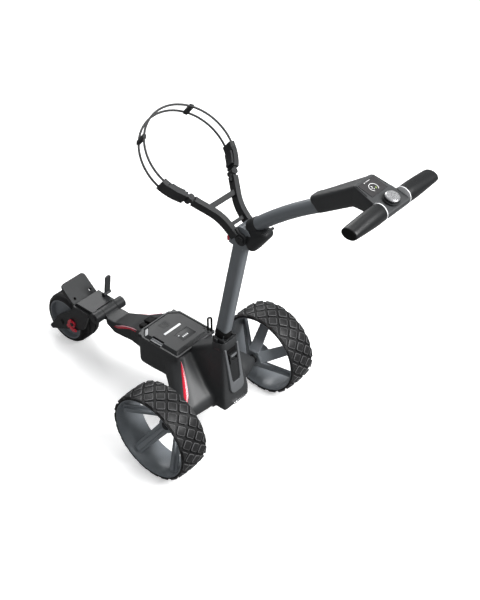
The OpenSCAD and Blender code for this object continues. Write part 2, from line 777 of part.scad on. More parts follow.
// A smooth path from the hinge eye out to the knuckle, t from 0 to 1
function bend(a, b, c, d, t) = a * pow(1 - t, 3) + 3 * b * t * pow(1 - t, 2) + 3 * c * t * t * (1 - t) + d * pow(t, 3);
arm_y0 = eye_in + arm_t / 2 + 0.6;
function arm_at(t) = bend([14, arm_y0], [90, arm_y0 - 2], [96, arm_y0 + 16], [knuckle_x - 6, knuckle_y - 4], t);
function arm_dir(t) = let (d = arm_at(min(1, t + 0.01)) - arm_at(max(0, t - 0.01))) d / norm(d);
function arm_side(t, s) = arm_at(t) + s * arm_t / 2 * [-arm_dir(t)[1], arm_dir(t)[0]];
module fork_arm() {
    n = 14;
    polygon(concat([for (i = [0 : n]) arm_side(i / n, 1)], [for (i = [n : -1 : 0]) arm_side(i / n, -1)]));
}
module bag_fork() {
    bar1 = 47;
    bar2 = 116;
    color("#3b3f43") at_fork() difference() {
        union() {
            both_sides() translate([0, 0, loop_drop - arm_high / 2]) linear_extrude(arm_high) fork_arm();
            bars_y(hinge_r / 2 + 1, eye_in, eye_out);
            both_sides() translate([0, eye_in, -12]) cube([30, eye_out - eye_in, 12 + hinge_r / 2 - 4]);
            translate([bar1 - 5, -arm_y0, loop_drop - 8]) cube([10, 2 * arm_y0, 12]);
            translate([bar2 - 8, -arm_y0 - 16, loop_drop - 9]) cube([14, 2 * arm_y0 + 32, 16]);
            both_sides() translate([knuckle_x, knuckle_y, loop_drop - 6 + gap])
                cylinder(r = knuckle_r, h = 12 - 2 * gap);
            both_sides() translate([knuckle_x - 20, knuckle_y - 20, loop_drop - 6 + gap + step]) rotate([0, 0, 45])
                translate([0, -7, 0]) cube([26, 14, 12 - 2 * (gap + step)]);
        }
        bar_y(pin_r + eps, -50, 50);
        both_sides() translate([knuckle_x, knuckle_y, loop_drop - 50]) cylinder(r = pivot_r + 0.01, h = 100);
        both_sides() translate([knuckle_x, knuckle_y, loop_drop + 6]) cylinder(r = knuckle_r + 4, h = 30);
        both_sides() translate([knuckle_x, knuckle_y, loop_drop - 36]) cylinder(r = knuckle_r + 4, h = 30);
    }
}
module cradle_arc(from, to, r0, r1, z0, z1) {
    rotate([0, 0, from]) rotate_extrude(angle = to - from, $fn = 128) translate([r0, z0]) square([r1 - r0, z1 - z0]);
}
module cradle() {
    start = knuckle_deg - 5.5;
    high = arm_high / 2 + 6;
    at_loop() difference() {
        union() {
            cradle_arc(cradle_end, start, cradle_in + 6, cradle_out, -high, high);
            cradle_arc(cradle_end + 3, start - 3, cradle_in, cradle_in + 8, -high + 4, high - 4);
            for (z = [6, -14]) translate([0, 0, z]) {
                translate([knuckle_x - loop_reach, knuckle_y, 0]) cylinder(r = knuckle_r, h = 8);
                cradle_arc(start - 2, knuckle_deg - 1, loop_r - 5, loop_r + 4, 0, 8);
            }
            cradle_arc(cradle_end - 8, cradle_end + 2, loop_r - 8, loop_r + 8, -high + 1, high - 1);
        }
        translate([knuckle_x - loop_reach, knuckle_y, -50]) cylinder(r = pivot_r + eps, h = 100);
        translate([knuckle_x - loop_reach, knuckle_y, -6]) cylinder(r = knuckle_r + gap, h = 12);
        for (z = [-cord_z, cord_z])
            rotate([0, 0, cradle_end - 9]) rotate_extrude(angle = 9) translate([loop_r, z]) circle(cord_r + seat);
    }
}
module cradle_left() { color("#34373a") cradle(); }
module cradle_right() { color("#34373a") mirror([0, 1, 0]) cradle(); }
module cradle_pins() {
    color("silver") at_loop() both_sides() translate([knuckle_x - loop_reach, knuckle_y, -14.5])
        cylinder(r = pivot_r, h = 29);
}
module strap_cords() {
    reach = cradle_end - 1;
    color("#1b1c1d") at_loop() for (z = [-cord_z, cord_z])
        rotate([0, 0, -reach]) rotate_extrude(angle = 2 * reach, $fn = 128) translate([loop_r, z]) circle(cord_r);
}
module strap_clips() {
    color("#101112") at_loop() for (a = [-41, 48]) difference() {
        cradle_arc(a - 2.5, a + 2.5, loop_r - cord_r - 2, loop_r + cord_r + 2, -cord_z - cord_r - 2, cord_z + cord_r + 2);
        for (z = [-cord_z, cord_z])
            rotate([0, 0, a - 4]) rotate_extrude(angle = 8) translate([loop_r, z]) circle(cord_r + seat);
    }
}

/* Stem, hooked into the head of the shaft and hinged on a bracket behind it. */
root_end = 42;
collar_t = 6;
stem_a0 = 46;
stem_a1 = 37;
stem_b0 = 38;
stem_b1 = 33;
stem_low = stem_off - stem_a0 / 2;
hook_x = 10;
hook_half = 7;
hook_len = 15;
knuckle_along = 77;
barrel_r = 11;
knuckle_off = stem_low - barrel_r - 0.5;
stem_pin_r = 4;
bracket_half = 22;
lug_half = 10;
rib_count = 7;
module stem_section(z, a, b, h) {
    translate([stem_off, 0, z]) linear_extrude(h) round_rect(a, b, 12, $fn = 32);
}
module at_knuckle() {
    at_stem() translate([knuckle_off, 0, knuckle_along]) children();
}
module stem_root() {
    color("#2b2d2f") at_stem() {
        stem_section(root_end, stem_a0, stem_b0, collar_t);
        stem_section(root_end, stem_a0 - 14, stem_b0 - 12, plug_len + collar_t);
        translate([hook_x, -hook_half, root_end - hook_len]) cube([12, 2 * hook_half, hook_len + 1]);
    }
}
module stem_tube() {
    from = root_end + collar_t;
    tip = stem_len + 30;
    color("#474b50") difference() {
        union() {
            at_stem() difference() {
                hull() {
                    stem_section(from, stem_a0, stem_b0, 1);
                    stem_section(tip, stem_a1, stem_b1, 1);
                }
                hull() {
                    stem_section(from - 1, stem_a0 - 2 * tube_wall, stem_b0 - 2 * tube_wall, 1);
                    stem_section(tip + 1, stem_a1 - 2 * tube_wall, stem_b1 - 2 * tube_wall, 1);
                }
            }
            at_knuckle() bar_y(barrel_r - 1, -lug_half, lug_half);
            at_knuckle() translate([0, -lug_half, -barrel_r + 1])
                cube([barrel_r + tube_wall, 2 * lug_half, 2 * barrel_r - 2]);
        }
        at_knuckle() bar_y(stem_pin_r + eps, -50, 50);
    }
}
module hinge_bracket() {
    low_x = -hinge_r - 5;
    low_z = -13;
    color("#26282a") difference() {
        union() {
            at_stem() slab_y(-bracket_half, bracket_half) polygon([
                [low_x + 2, low_z], [low_x, low_z + 8], [knuckle_off - barrel_r, knuckle_along + 3],
                [knuckle_off, knuckle_along], [knuckle_off + barrel_r, knuckle_along],
                [knuckle_off + barrel_r, hinge_r]
            ]);
            at_knuckle() bar_y(barrel_r, -bracket_half, bracket_half);
        }
        at_stem() bar_y(hinge_r + seat, -50, 50);
        at_knuckle() bar_y(stem_pin_r + 0.01, -50, 50);
        at_knuckle() translate([-barrel_r - 9, -lug_half - gap, -barrel_r])
            cube([60, 2 * (lug_half + gap), 60]);
        for (i = [0 : rib_count - 1]) at_stem() translate([low_x - 3 + i * 2.7, -50, 4 + i * 10]) rotate([0, 12, 0])
            cube([5, 100, 4]);
    }
}
module stem_pin() {
    color("silver") at_knuckle() bar_y(stem_pin_r, -bracket_half, bracket_half);
}

/* Console, dial and grips. */
face_tilt = 16;
face_x0 = 80;
face_z0 = 31.6;
console_half = 45;
sleeve_a = 50;
sleeve_b = 44;
core_r = 8;
core_drop = 5;
core_in = 22;
dial_x = 2;
dial_h = 10;
dial_travel = 2;
spindle_r = 6;
lens_x0 = 34;
lens_len = 44;
lens_half = 30;
lens_t = 1.6;
ring_t = 2.4;
end_a = 25;
end_b = 17;

// The sloping top face, with x to the front along it and z out of it
module at_face() {
    at_bar() translate([face_x0, 0, face_z0]) rotate([0, -face_tilt, 0]) translate([-face_x0 / cos(face_tilt), 0, 0])
        children();
}
// The cores that carry the grips, a little below the middle of the bar
module at_core() {
    at_bar() translate([0, 0, -core_drop]) children();
}
module console_form() {
    difference() {
        union() {
            hull() {
                at_stem() stem_section(stem_len, sleeve_a, sleeve_b, 6);
                at_bar() console_waist();
            }
            hull() {
                at_bar() console_waist();
                at_bar() bar_y(grip_r, -console_half, console_half, $fn = 48);
            }
        }
        at_face() translate([-60, -80, 0]) cube([160, 160, 60]);
        at_core() bars_y(core_r + seat, core_in - 1, 80);
        at_face() translate([dial_x, 0, -14]) cylinder(r = spindle_r + gap, h = 40);
        at_stem() stem_section(stem_len - 1, stem_a1 + 2, stem_b1 + 2, 34);
    }
}
module console_waist() {
    for (s = [-1, 1]) {
        translate([face_x0 - 2, s * 30, face_z0 - 6]) sphere(7, $fn = hull_fn);
        translate([face_x0 + 12, s * 15, -26]) sphere(12, $fn = hull_fn);
    }
}
// The plane that parts the two halves of the console
module console_cut(up) {
    at_bar() rotate([0, 20, 0]) translate([-80, -100, up ? 0 : -200 - seat]) cube([400, 200, 200]);
}
module console_upper() {
    color("#35383b") difference() {
        intersection() {
            console_form();
            console_cut(true);
        }
        at_face() translate([lens_x0 - seat, -lens_half - seat, -lens_t / 2]) cube([lens_len + 2 * seat, 2 * (lens_half + seat), 20]);
    }
}
module console_lower() {
    color("#1d1e20") intersection() {
        console_form();
        console_cut(false);
    }
}
module display_lens() {
    color("#0e1012") at_face() translate([lens_x0, -lens_half, -lens_t / 2]) cube([lens_len, 2 * lens_half, lens_t]);
}
module dial_spindle() {
    color("#2a2a2a") at_face() translate([dial_x, 0, 0]) {
        translate([0, 0, -10]) cylinder(r = spindle_r, h = 10 + dial_travel + 1);
        translate([0, 0, dial_travel + 1]) cylinder(r = dial_d / 2 + 3, h = 2);
        translate([0, 0, dial_travel + 3]) cylinder(r = spindle_r - 1, h = dial_h - 4);
    }
}
module speed_dial() {
    color("silver") at_face() translate([dial_x, 0, dial_travel + 3 + gap]) difference() {
        union() {
            cylinder(r = dial_d / 2, h = dial_h - 2.5);
            translate([0, 0, dial_h - 2.5]) cylinder(r1 = dial_d / 2, r2 = dial_d / 2 - 2.5, h = 2.5);
        }
        translate([0, 0, -1]) cylinder(r = spindle_r - 1 + eps, h = dial_h - 3);
        for (a = [0 : 15 : 345]) rotate([0, 0, a]) translate([dial_d / 2, 0, -1]) cylinder(r = 1.2, h = dial_h - 2, $fn = 16);
    }
}
module grip() {
    from = console_half + ring_t + 0.1;
    at_bar() difference() {
        hull() {
            bar_y(grip_r, from, from + 1, $fn = 48);
            translate([0, from + 34, 0]) bar_y(grip_r + 1, 0, 1, $fn = 48);
            rotate([0, 5, 0]) scale([1, 1, end_b / end_a]) bar_y(end_a - 3, bar_len / 2 - 3, bar_len / 2, $fn = 48);
        }
        translate([0, 0, -core_drop]) bar_y(core_r + seat, 0, bar_len / 2 - 10);
    }
}
module grip_left() { color("#222325") grip(); }
module grip_right() { color("#222325") mirror([0, 1, 0]) grip(); }
module grip_rings() {
    color("gainsboro") at_bar() difference() {
        bars_y(grip_r + 0.6, console_half + 0.05, console_half + ring_t);
        translate([0, 0, -core_drop]) bar_y(core_r + seat, -80, 80);
    }
}
module grip_cores() {
    color("silver") at_core() bars_y(core_r, core_in, bar_len / 2 - 12);
}

/* Front assembly, which folds under about the tube. */
eye_from = arm_eye + gap;
yoke_half = 48;
yoke_low = -6;
yoke_high = 7;
rest_x = 119;
rest_z = 5;
rest_t = 8;
rest_end = rest_x - 12;
rest_low = -30;
rest_high = 62;
leg_in = front_w / 2 + 4;
leg_t = 12;
leg_out = leg_in + leg_t;
axle_x = wheelbase - tube_x;
axle_z = front_r - tube_z;
cam_x = 116;
cam_z = -84;
peg_r = 7;
lever_x = 56;
lever_up = yoke_high + 6;
paddle_y0 = 38;
paddle_y1 = 65;
yoke_bevel = (yoke_high - yoke_low) * tan(rest_tilt);
paddle_h = 74;

module at_rest() {
    at_tube() translate([rest_x, 0, rest_z]) rotate([0, -rest_tilt, 0]) children();
}
module front_yoke() {
    color("#303335") at_tube() difference() {
        union() {
            bars_y(tube_r, eye_from, tube_len / 2);
            both_sides() translate([0, eye_from, yoke_low]) cube([44, yoke_half - eye_from, yoke_high - yoke_low]);
            slab_y(-yoke_half, yoke_half) polygon([
                [tube_r + 4, yoke_low], [rest_end - 0.5, yoke_low], [rest_end - 1 - yoke_bevel, yoke_high], [tube_r + 4, yoke_high]
            ]);
            translate([lever_x - 7, -paddle_y0 + gap, yoke_high - 1]) cube([14, 4, 8]);
            translate([lever_x, 0, lever_up]) bar_y(7, -paddle_y0 + gap, -paddle_y0 + gap + 4);
            translate([lever_x, 0, lever_up]) bar_y(3, -paddle_y1, -paddle_y0 + 1);
        }
        bar_y(front_pin_r + eps, -tube_len, tube_len);
    }
}
module bag_rest() {
    color("#55585a") difference() {
        at_rest() difference() {
            union() {
                translate([(rest_low + rest_high) / 2, 0, -rest_t]) linear_extrude(rest_t)
                    round_rect(rest_high - rest_low, rest_w, 14);
                for (s = [-1, 1]) translate([rest_low + 26, s * (rest_w / 2 - 5) - 4, -rest_t - 10])
                    cube([rest_high - rest_low - 40, 8, 11]);
            }
            for (s = [-1, 1]) translate([0, s * socket_gap / 2, -rest_t - 1]) cylinder(r = socket_d / 2, h = rest_t + 2);
        }
        at_tube() translate([0, -100, yoke_low - 40]) cube([rest_end, 200, yoke_high - yoke_low + 40]);
    }
}
module leg_outline() {
    difference() {
        union() {
            polygon([
                [34, yoke_low], [90, yoke_low], [axle_x + 10, axle_z + 26], [axle_x + 25, axle_z + 5],
                [axle_x + 58, axle_z - 40], [axle_x + 50, axle_z - 52], [axle_x - 6, axle_z - 26], [66, -84]
            ]);
            translate([axle_x, axle_z]) circle(26);
            translate([axle_x + 52, axle_z - 44]) circle(9);
            translate([cam_x - 10, cam_z + 10]) circle(30);
        }
        translate([axle_x, axle_z]) circle(6.01);
    }
}
module front_fork() {
    color("#1c1d1e") at_tube() {
        both_sides() slab_y(leg_in, leg_out) leg_outline();
        translate([34, -leg_out, yoke_low - 12]) cube([rest_end - 34, 2 * leg_out, 12]);
        translate([cam_x, 0, cam_z]) bar_y(peg_r, leg_out, leg_out + 7);
    }
}
module front_axle() {
    color("silver") at_tube() translate([axle_x, 0, axle_z]) {
        bar_y(6, -leg_out - 2, leg_out + 2);
        bars_y(9, leg_out, leg_out + 5);
    }
}
front_bed = front_r - 17;
module at_front() {
    place() translate([wheelbase, -front_w / 2, front_r]) rotate([-90, 0, 0]) children();
}
module front_tyre() {
    crown = 10;
    color("#2b2b2b") at_front() difference() {
        rotate_extrude($fn = 128) polygon([
            [front_bed, 0], [front_r - crown, 0], [front_r - 3, 7], [front_r, 16],
            [front_r, front_w - 16], [front_r - 3, front_w - 7], [front_r - crown, front_w], [front_bed, front_w]
        ]);
        for (z = [front_w / 2 - 14, front_w / 2 + 10]) translate([0, 0, z]) difference() {
            cylinder(r = front_r + 1, h = 4);
            translate([0, 0, -1]) cylinder(r = front_r - 3, h = 6);
        }
    }
}
module front_rim() {
    disc = front_w - 24;
    color("#4b5056") at_front() difference() {
        union() {
            rotate_extrude($fn = 128) polygon([
                [front_bed - eps, 0.5], [front_bed - eps, front_w - 0.5], [front_bed - 5, front_w - 0.5],
                [front_bed - 8, disc + 8], [20, disc + 2], [20, disc - 6], [front_bed - 8, disc - 2], [front_bed - 5, 0.5]
            ]);
            translate([0, 0, 2]) cylinder(r = 21, h = front_w - 4);
        }
        translate([0, 0, -1]) cylinder(r = 6 + eps, h = front_w + 2);
    }
}
module tracking_cam() {
    color("#d0273c") at_tube() translate([cam_x, 0, cam_z]) difference() {
        union() {
            bar_y(peg_r + 6, leg_out + gap, leg_out + 5);
            rotate([0, 40, 0]) translate([0, leg_out + gap + step, -6]) cube([34, 5 - gap - 2 * step, 12]);
        }
        bar_y(peg_r + eps, 0, leg_out + 10);
        rotate([0, -70, 0]) translate([0, leg_out - 1, -4]) cube([40, 10, 8]);
    }
}
module fold_lever() {
    color("#5a5d60") at_tube() translate([lever_x, 0, lever_up]) difference() {
        union() {
            bar_y(6, -paddle_y1, -paddle_y0);
            rotate([0, -8, 0]) translate([0, -(paddle_y0 + paddle_y1) / 2, 0]) rotate([90, 0, 90])
                translate([0, 0, -2.5]) linear_extrude(5) translate([0, paddle_h / 2])
                    round_rect(paddle_y1 - paddle_y0 - 5, paddle_h, 9);
        }
        bar_y(3 + eps, -80, 0);
    }
}

tyre_left();
tyre_right();
rim_left();
rim_right();
release_left();
release_right();
drive_axle();
drive_gear();
motor_pinion();
motor();
gearbox_case();
axle_bearings();
chassis_shell();
chassis_pan();
battery_tray();
controller_board();
front_arm();
front_pin();
side_trims();
arm_trims();
rear_cover();
shaft_latch();
shaft_socket();
base_pin();
battery_case();
battery_lid();
battery_catch();
battery_loop();
lower_shaft();
shaft_foot();
shaft_head();
release_tab();
bag_pin();
hinge_bracket();
stem_pin();
bag_fork();
cradle_left();
cradle_right();
cradle_pins();
strap_cords();
strap_clips();
stem_root();
stem_tube();
console_upper();
console_lower();
display_lens();
dial_spindle();
speed_dial();
grip_left();
grip_right();
grip_rings();
grip_cores();
front_yoke();
bag_rest();
front_fork();
front_axle();
front_rim();
front_tyre();
tracking_cam();
fold_lever();
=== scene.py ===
"""Looks of a folding electric golf trolley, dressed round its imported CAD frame.

Laid out as an add-on and run as a script: each group of pieces has an operator, and the
sidebar panel lists them. Metres, +X forward, +Y left, +Z up, as in the CAD.
"""

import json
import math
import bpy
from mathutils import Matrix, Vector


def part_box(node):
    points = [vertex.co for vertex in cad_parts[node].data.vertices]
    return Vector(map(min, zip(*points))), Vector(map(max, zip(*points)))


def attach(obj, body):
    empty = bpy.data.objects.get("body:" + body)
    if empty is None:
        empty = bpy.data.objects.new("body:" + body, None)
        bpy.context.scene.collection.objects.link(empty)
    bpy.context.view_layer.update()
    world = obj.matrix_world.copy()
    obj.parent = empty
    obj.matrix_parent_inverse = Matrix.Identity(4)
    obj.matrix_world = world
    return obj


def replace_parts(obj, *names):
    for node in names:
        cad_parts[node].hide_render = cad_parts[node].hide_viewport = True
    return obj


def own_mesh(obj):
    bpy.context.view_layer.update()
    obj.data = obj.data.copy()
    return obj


bl_info = {
    "name": "Golf Trolley Looks",
    "version": (1, 0, 0),
    "blender": (4, 5, 0),
    "location": "3D View > Sidebar > Trolley",
    "description": "Dresses the packed golf trolley with moulded skins, trims, finishes and a stage",
    "category": "Object",
}

import bmesh
import bpy
from bpy.props import FloatProperty, FloatVectorProperty, IntProperty, PointerProperty
from bpy.types import Operator, Panel, PropertyGroup
from mathutils import Matrix, Vector
from mathutils.bvhtree import BVHTree

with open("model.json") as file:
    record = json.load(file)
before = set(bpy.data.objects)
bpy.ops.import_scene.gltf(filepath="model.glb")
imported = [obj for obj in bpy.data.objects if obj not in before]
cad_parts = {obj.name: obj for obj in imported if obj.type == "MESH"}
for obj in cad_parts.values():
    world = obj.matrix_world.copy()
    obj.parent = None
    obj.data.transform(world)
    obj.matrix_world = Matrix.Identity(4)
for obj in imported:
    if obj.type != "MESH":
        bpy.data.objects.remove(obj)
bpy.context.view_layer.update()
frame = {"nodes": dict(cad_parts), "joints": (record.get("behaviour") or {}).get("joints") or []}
nodes = frame["nodes"]
joints = {joint["name"]: joint for joint in frame["joints"]}


def at(x, y, z):
    """A place moved from the origin."""
    return Matrix.Translation((x, y, z))


def turned(degrees, axis):
    """A place turned about an axis through the origin."""
    return Matrix.Rotation(math.radians(degrees), 4, axis)


def tilted(point, degrees):
    """A place in the trolley's long plane whose x axis rises to the front by this angle."""
    return at(*point) @ turned(-degrees, "Y")


def oval(a, b):
    """Stretches a circle of radius 1 to these two radii, in millimetres."""
    return Matrix.Diagonal((a / 1000, b / 1000, 1, 1))


def points(*rows):
    """Points that are given in millimetres."""
    return [Vector(row) / 1000 for row in rows]


hinge = Vector(joints["bag_support_fold"]["pos_m"])
axle = Vector(joints["axle_spin"]["pos_m"])
bar_low, bar_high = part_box("grip_rings")
face_reach, face_lean = 0.08, 16
stem_place = tilted(hinge, 54)
shaft_place = tilted(joints["shaft_fold"]["pos_m"], 11.6)
loop_place = tilted(hinge, 40) @ at(0.267, 0, -0.006)
bar_place = at((bar_low.x + bar_high.x) / 2, 0, (bar_low.z + bar_high.z) / 2)
face_place = (bar_place @ tilted((face_reach, 0, 0.0316), face_lean)
              @ at(-face_reach / math.cos(math.radians(face_lean)), 0, 0))
cover_place = tilted((axle.x - 0.07067, 0, 0.255), -math.degrees(math.atan2(30, 180)))


def length(name, description, default, low, high):
    """A length that a user can change in the panel."""
    return FloatProperty(name=name, description=description, default=default, min=low, max=high, unit="LENGTH",
                         precision=4)


def tone(name, description, *default):
    """A colour that a user can change in the panel."""
    return FloatVectorProperty(name=name, description=description, default=default, min=0, max=1, subtype="COLOR")


class TrolleySizes(PropertyGroup):
    """Sizes of the pieces that Blender adds"""

    tread_radius: length("Tread Radius", "Radius over the tread blocks of a rear wheel", 0.144, 0.13, 0.16)
    tread_blocks: IntProperty(name="Tread Blocks", description="Blocks in one row of the tread",
                              default=19, min=16, max=26)
    skin_voxel: length("Skin Voxel", "Cell size of the moulded chassis skin", 0.0024, 0.0018, 0.004)
    skin_rounds: IntProperty(name="Skin Rounds", description="Smoothing rounds that turn creases into fillets",
                             default=36, min=0, max=80)
    edge_radius: length("Edge Radius", "Rounding that finishes give to moulded edges", 0.0009, 0.0, 0.004)
    cord_diameter: length("Cord Diameter", "Thickness of a strap cord", 0.0064, 0.003, 0.008)
    loop_radius: length("Loop Radius", "Radius of the strap loop at the cords", 0.135, 0.12, 0.15)
    gauge_radius: length("Gauge Radius", "Radius of the ring on the display", 0.0125, 0.008, 0.016)
    floor_half: length("Floor", "Half the width of the floor", 9.0, 2.0, 30.0)


class TrolleyColours(PropertyGroup):
    """Colours of the finishes"""

    shell: tone("Shell", "Moulded chassis plastic", 0.03, 0.0315, 0.033)
    dark: tone("Dark Plastic", "Forks, bag support, hinge and pins", 0.017, 0.018, 0.019)
    cover: tone("Cover", "Rear cover and its latch tongue", 0.12, 0.125, 0.131)
    lid: tone("Lid", "Battery and its lid", 0.02, 0.021, 0.022)
    slate: tone("Slate Paint", "Shaft and stem", 0.175, 0.19, 0.206)
    rim: tone("Rim", "Wheel rims", 0.22, 0.238, 0.257)
    tyre: tone("Tyre", "Tyre rubber", 0.012, 0.012, 0.0125)
    accent: tone("Accent", "Red trims and buttons", 0.7, 0.02, 0.048)
    # The pale print colour, also the painted reflection on the grip rings.
    print_and_ring_reflection: tone("Print", "Plain pale markings", 0.75, 0.76, 0.77)
    floor: tone("Floor", "Studio floor", 0.88, 0.88, 0.88)


def sizes():
    return bpy.context.scene.trolley_sizes


def colours():
    return bpy.context.scene.trolley_colours


def plug(tree, node, given):
    """Sets inputs of a shader node to values, or links them to sockets."""
    for key, value in given.items():
        if isinstance(value, bpy.types.NodeSocket):
            tree.links.new(value, node.inputs[key])
        else:
            node.inputs[key].default_value = value


def add(tree, kind, given, **settings):
    """The outputs of a new shader node with these settings and inputs."""
    node = tree.nodes.new("ShaderNode" + kind)
    for name, value in settings.items():
        setattr(node, name, value)
    plug(tree, node, given)
    return node.outputs


def new_group(name, inputs, outputs):
    """A node group with these names for each kind of socket, and the sockets inside it."""
    group = bpy.data.node_groups.new(name, "ShaderNodeTree")
    for way, kinds in (("INPUT", inputs), ("OUTPUT", outputs)):
        for kind, names in kinds.items():
            for socket in names:
                group.interface.new_socket(socket, in_out=way, socket_type="NodeSocket" + kind)
    return group, group.nodes.new("NodeGroupInput").outputs, group.nodes.new("NodeGroupOutput")


def moulded_group():
    """Grain, soft edges and an edge mask, which every finish uses with its own values."""
    ready = bpy.data.node_groups.get("moulded_surface")
    if ready:
        return ready
    group, given, result = new_group(
        "moulded_surface", {"Float": ("Grain Scale", "Grain Depth", "Edge Radius"), "Vector": ("Stretch",)},
        {"Vector": ("Normal",), "Float": ("Speckle", "Cloud", "Edge")})
    place = add(group, "TexCoord", {})["Object"]
    drawn = add(group, "VectorMath", {0: place, 1: given["Stretch"]}, operation="MULTIPLY")[0]
    grain = add(group, "TexNoise", {"Vector": drawn, "Scale": given["Grain Scale"], "Detail": 3.0,
                                    "Roughness": 0.6})["Fac"]
    cloud = add(group, "TexNoise", {"Vector": place, "Scale": 14.0, "Detail": 2.0})["Fac"]
    soft = add(group, "Bevel", {"Radius": given["Edge Radius"]}, samples=4)["Normal"]
    bump = add(group, "Bump", {"Distance": 0.0006, "Strength": given["Grain Depth"], "Height": grain, "Normal": soft})
    plain = add(group, "NewGeometry", {})["Normal"]
    facing = add(group, "VectorMath", {0: soft, 1: plain}, operation="DOT_PRODUCT")["Value"]
    edge = add(group, "MapRange", {"Value": facing, "From Min": 0.995, "From Max": 0.8})["Result"]
    plug(group, result, {"Normal": bump["Normal"], "Speckle": grain, "Cloud": cloud, "Edge": edge})
    return group


def tint_group():
    """A colour that drifts a little over the surface and turns paler along its edges, a painted highlight that partly
    also stands for wear.
    """
    ready = bpy.data.node_groups.get("tint_and_edge_highlight")
    if ready:
        return ready
    group, given, result = new_group(
        "tint_and_edge_highlight", {"Color": ("Colour", "Pale Edge"), "Float": ("Speckle", "Cloud", "Edge", "Drift", "Wear And Highlight")},
        {"Color": ("Colour",)})
    both = add(group, "Math", {0: given["Speckle"], 1: given["Cloud"]}, operation="ADD")[0]
    centred = add(group, "Math", {0: both, 1: 1.0}, operation="SUBTRACT")[0]
    drift = add(group, "Math", {0: centred, 1: given["Drift"], 2: 1.0}, operation="MULTIPLY_ADD")[0]
    shade = add(group, "VectorMath", {0: given["Colour"], "Scale": drift}, operation="SCALE")[0]
    # Edges mix towards a paler copy of the colour: a painted highlight, partly also wear.
    amount = add(group, "Math", {0: given["Edge"], 1: given["Wear And Highlight"]}, operation="MULTIPLY")[0]
    pale_edge = add(group, "Mix", {"Factor": amount, 6: shade, 7: given["Pale Edge"]}, data_type="RGBA")
    plug(group, result, {"Colour": pale_edge[2]})
    return group


def finish(name, colour, rough, metal=0.0, grain=900.0, depth=0.1, edge=None, edge_wear_and_highlight=0.25, drift=0.18,
           spread=0.1, coat=0.0, stretch=(1, 1, 1), sheen=0.0, level=0.5, glow=0.0):
    """A procedural finish: grain, a drifting tint, paler edges that are painted highlights and partly wear, and an
    uneven gloss.
    """
    material = bpy.data.materials.get("trolley_" + name)
    if material:
        return material
    material = bpy.data.materials.new("trolley_" + name)
    material.use_nodes = True
    tree = material.node_tree
    shader = tree.nodes["Principled BSDF"]
    surface = add(tree, "Group", {
        "Grain Scale": grain, "Grain Depth": depth, "Stretch": stretch,
        "Edge Radius": sizes().edge_radius if edge is None else edge}, node_tree=moulded_group())
    tint = add(tree, "Group", {
        "Colour": (*colour, 1), "Pale Edge": (*[min(1.0, c * 1.9 + 0.012) for c in colour], 1), "Drift": drift,
        "Wear And Highlight": edge_wear_and_highlight, **{mask: surface[mask] for mask in ("Speckle", "Cloud", "Edge")}}, node_tree=tint_group())
    gloss = add(tree, "MapRange", {
        "Value": surface["Speckle"], "From Min": 0.3, "From Max": 0.7, "To Min": max(0.03, rough - spread),
        "To Max": min(1.0, rough + spread)})
    plug(tree, shader, {
        "Base Color": tint["Colour"], "Roughness": gloss["Result"], "Normal": surface["Normal"], "Metallic": metal,
        "Coat Weight": coat, "Coat Roughness": 0.08, "Sheen Weight": sheen, "Specular IOR Level": level})
    if glow:
        plug(tree, shader, {"Emission Color": (*colour, 1), "Emission Strength": glow})
    return material


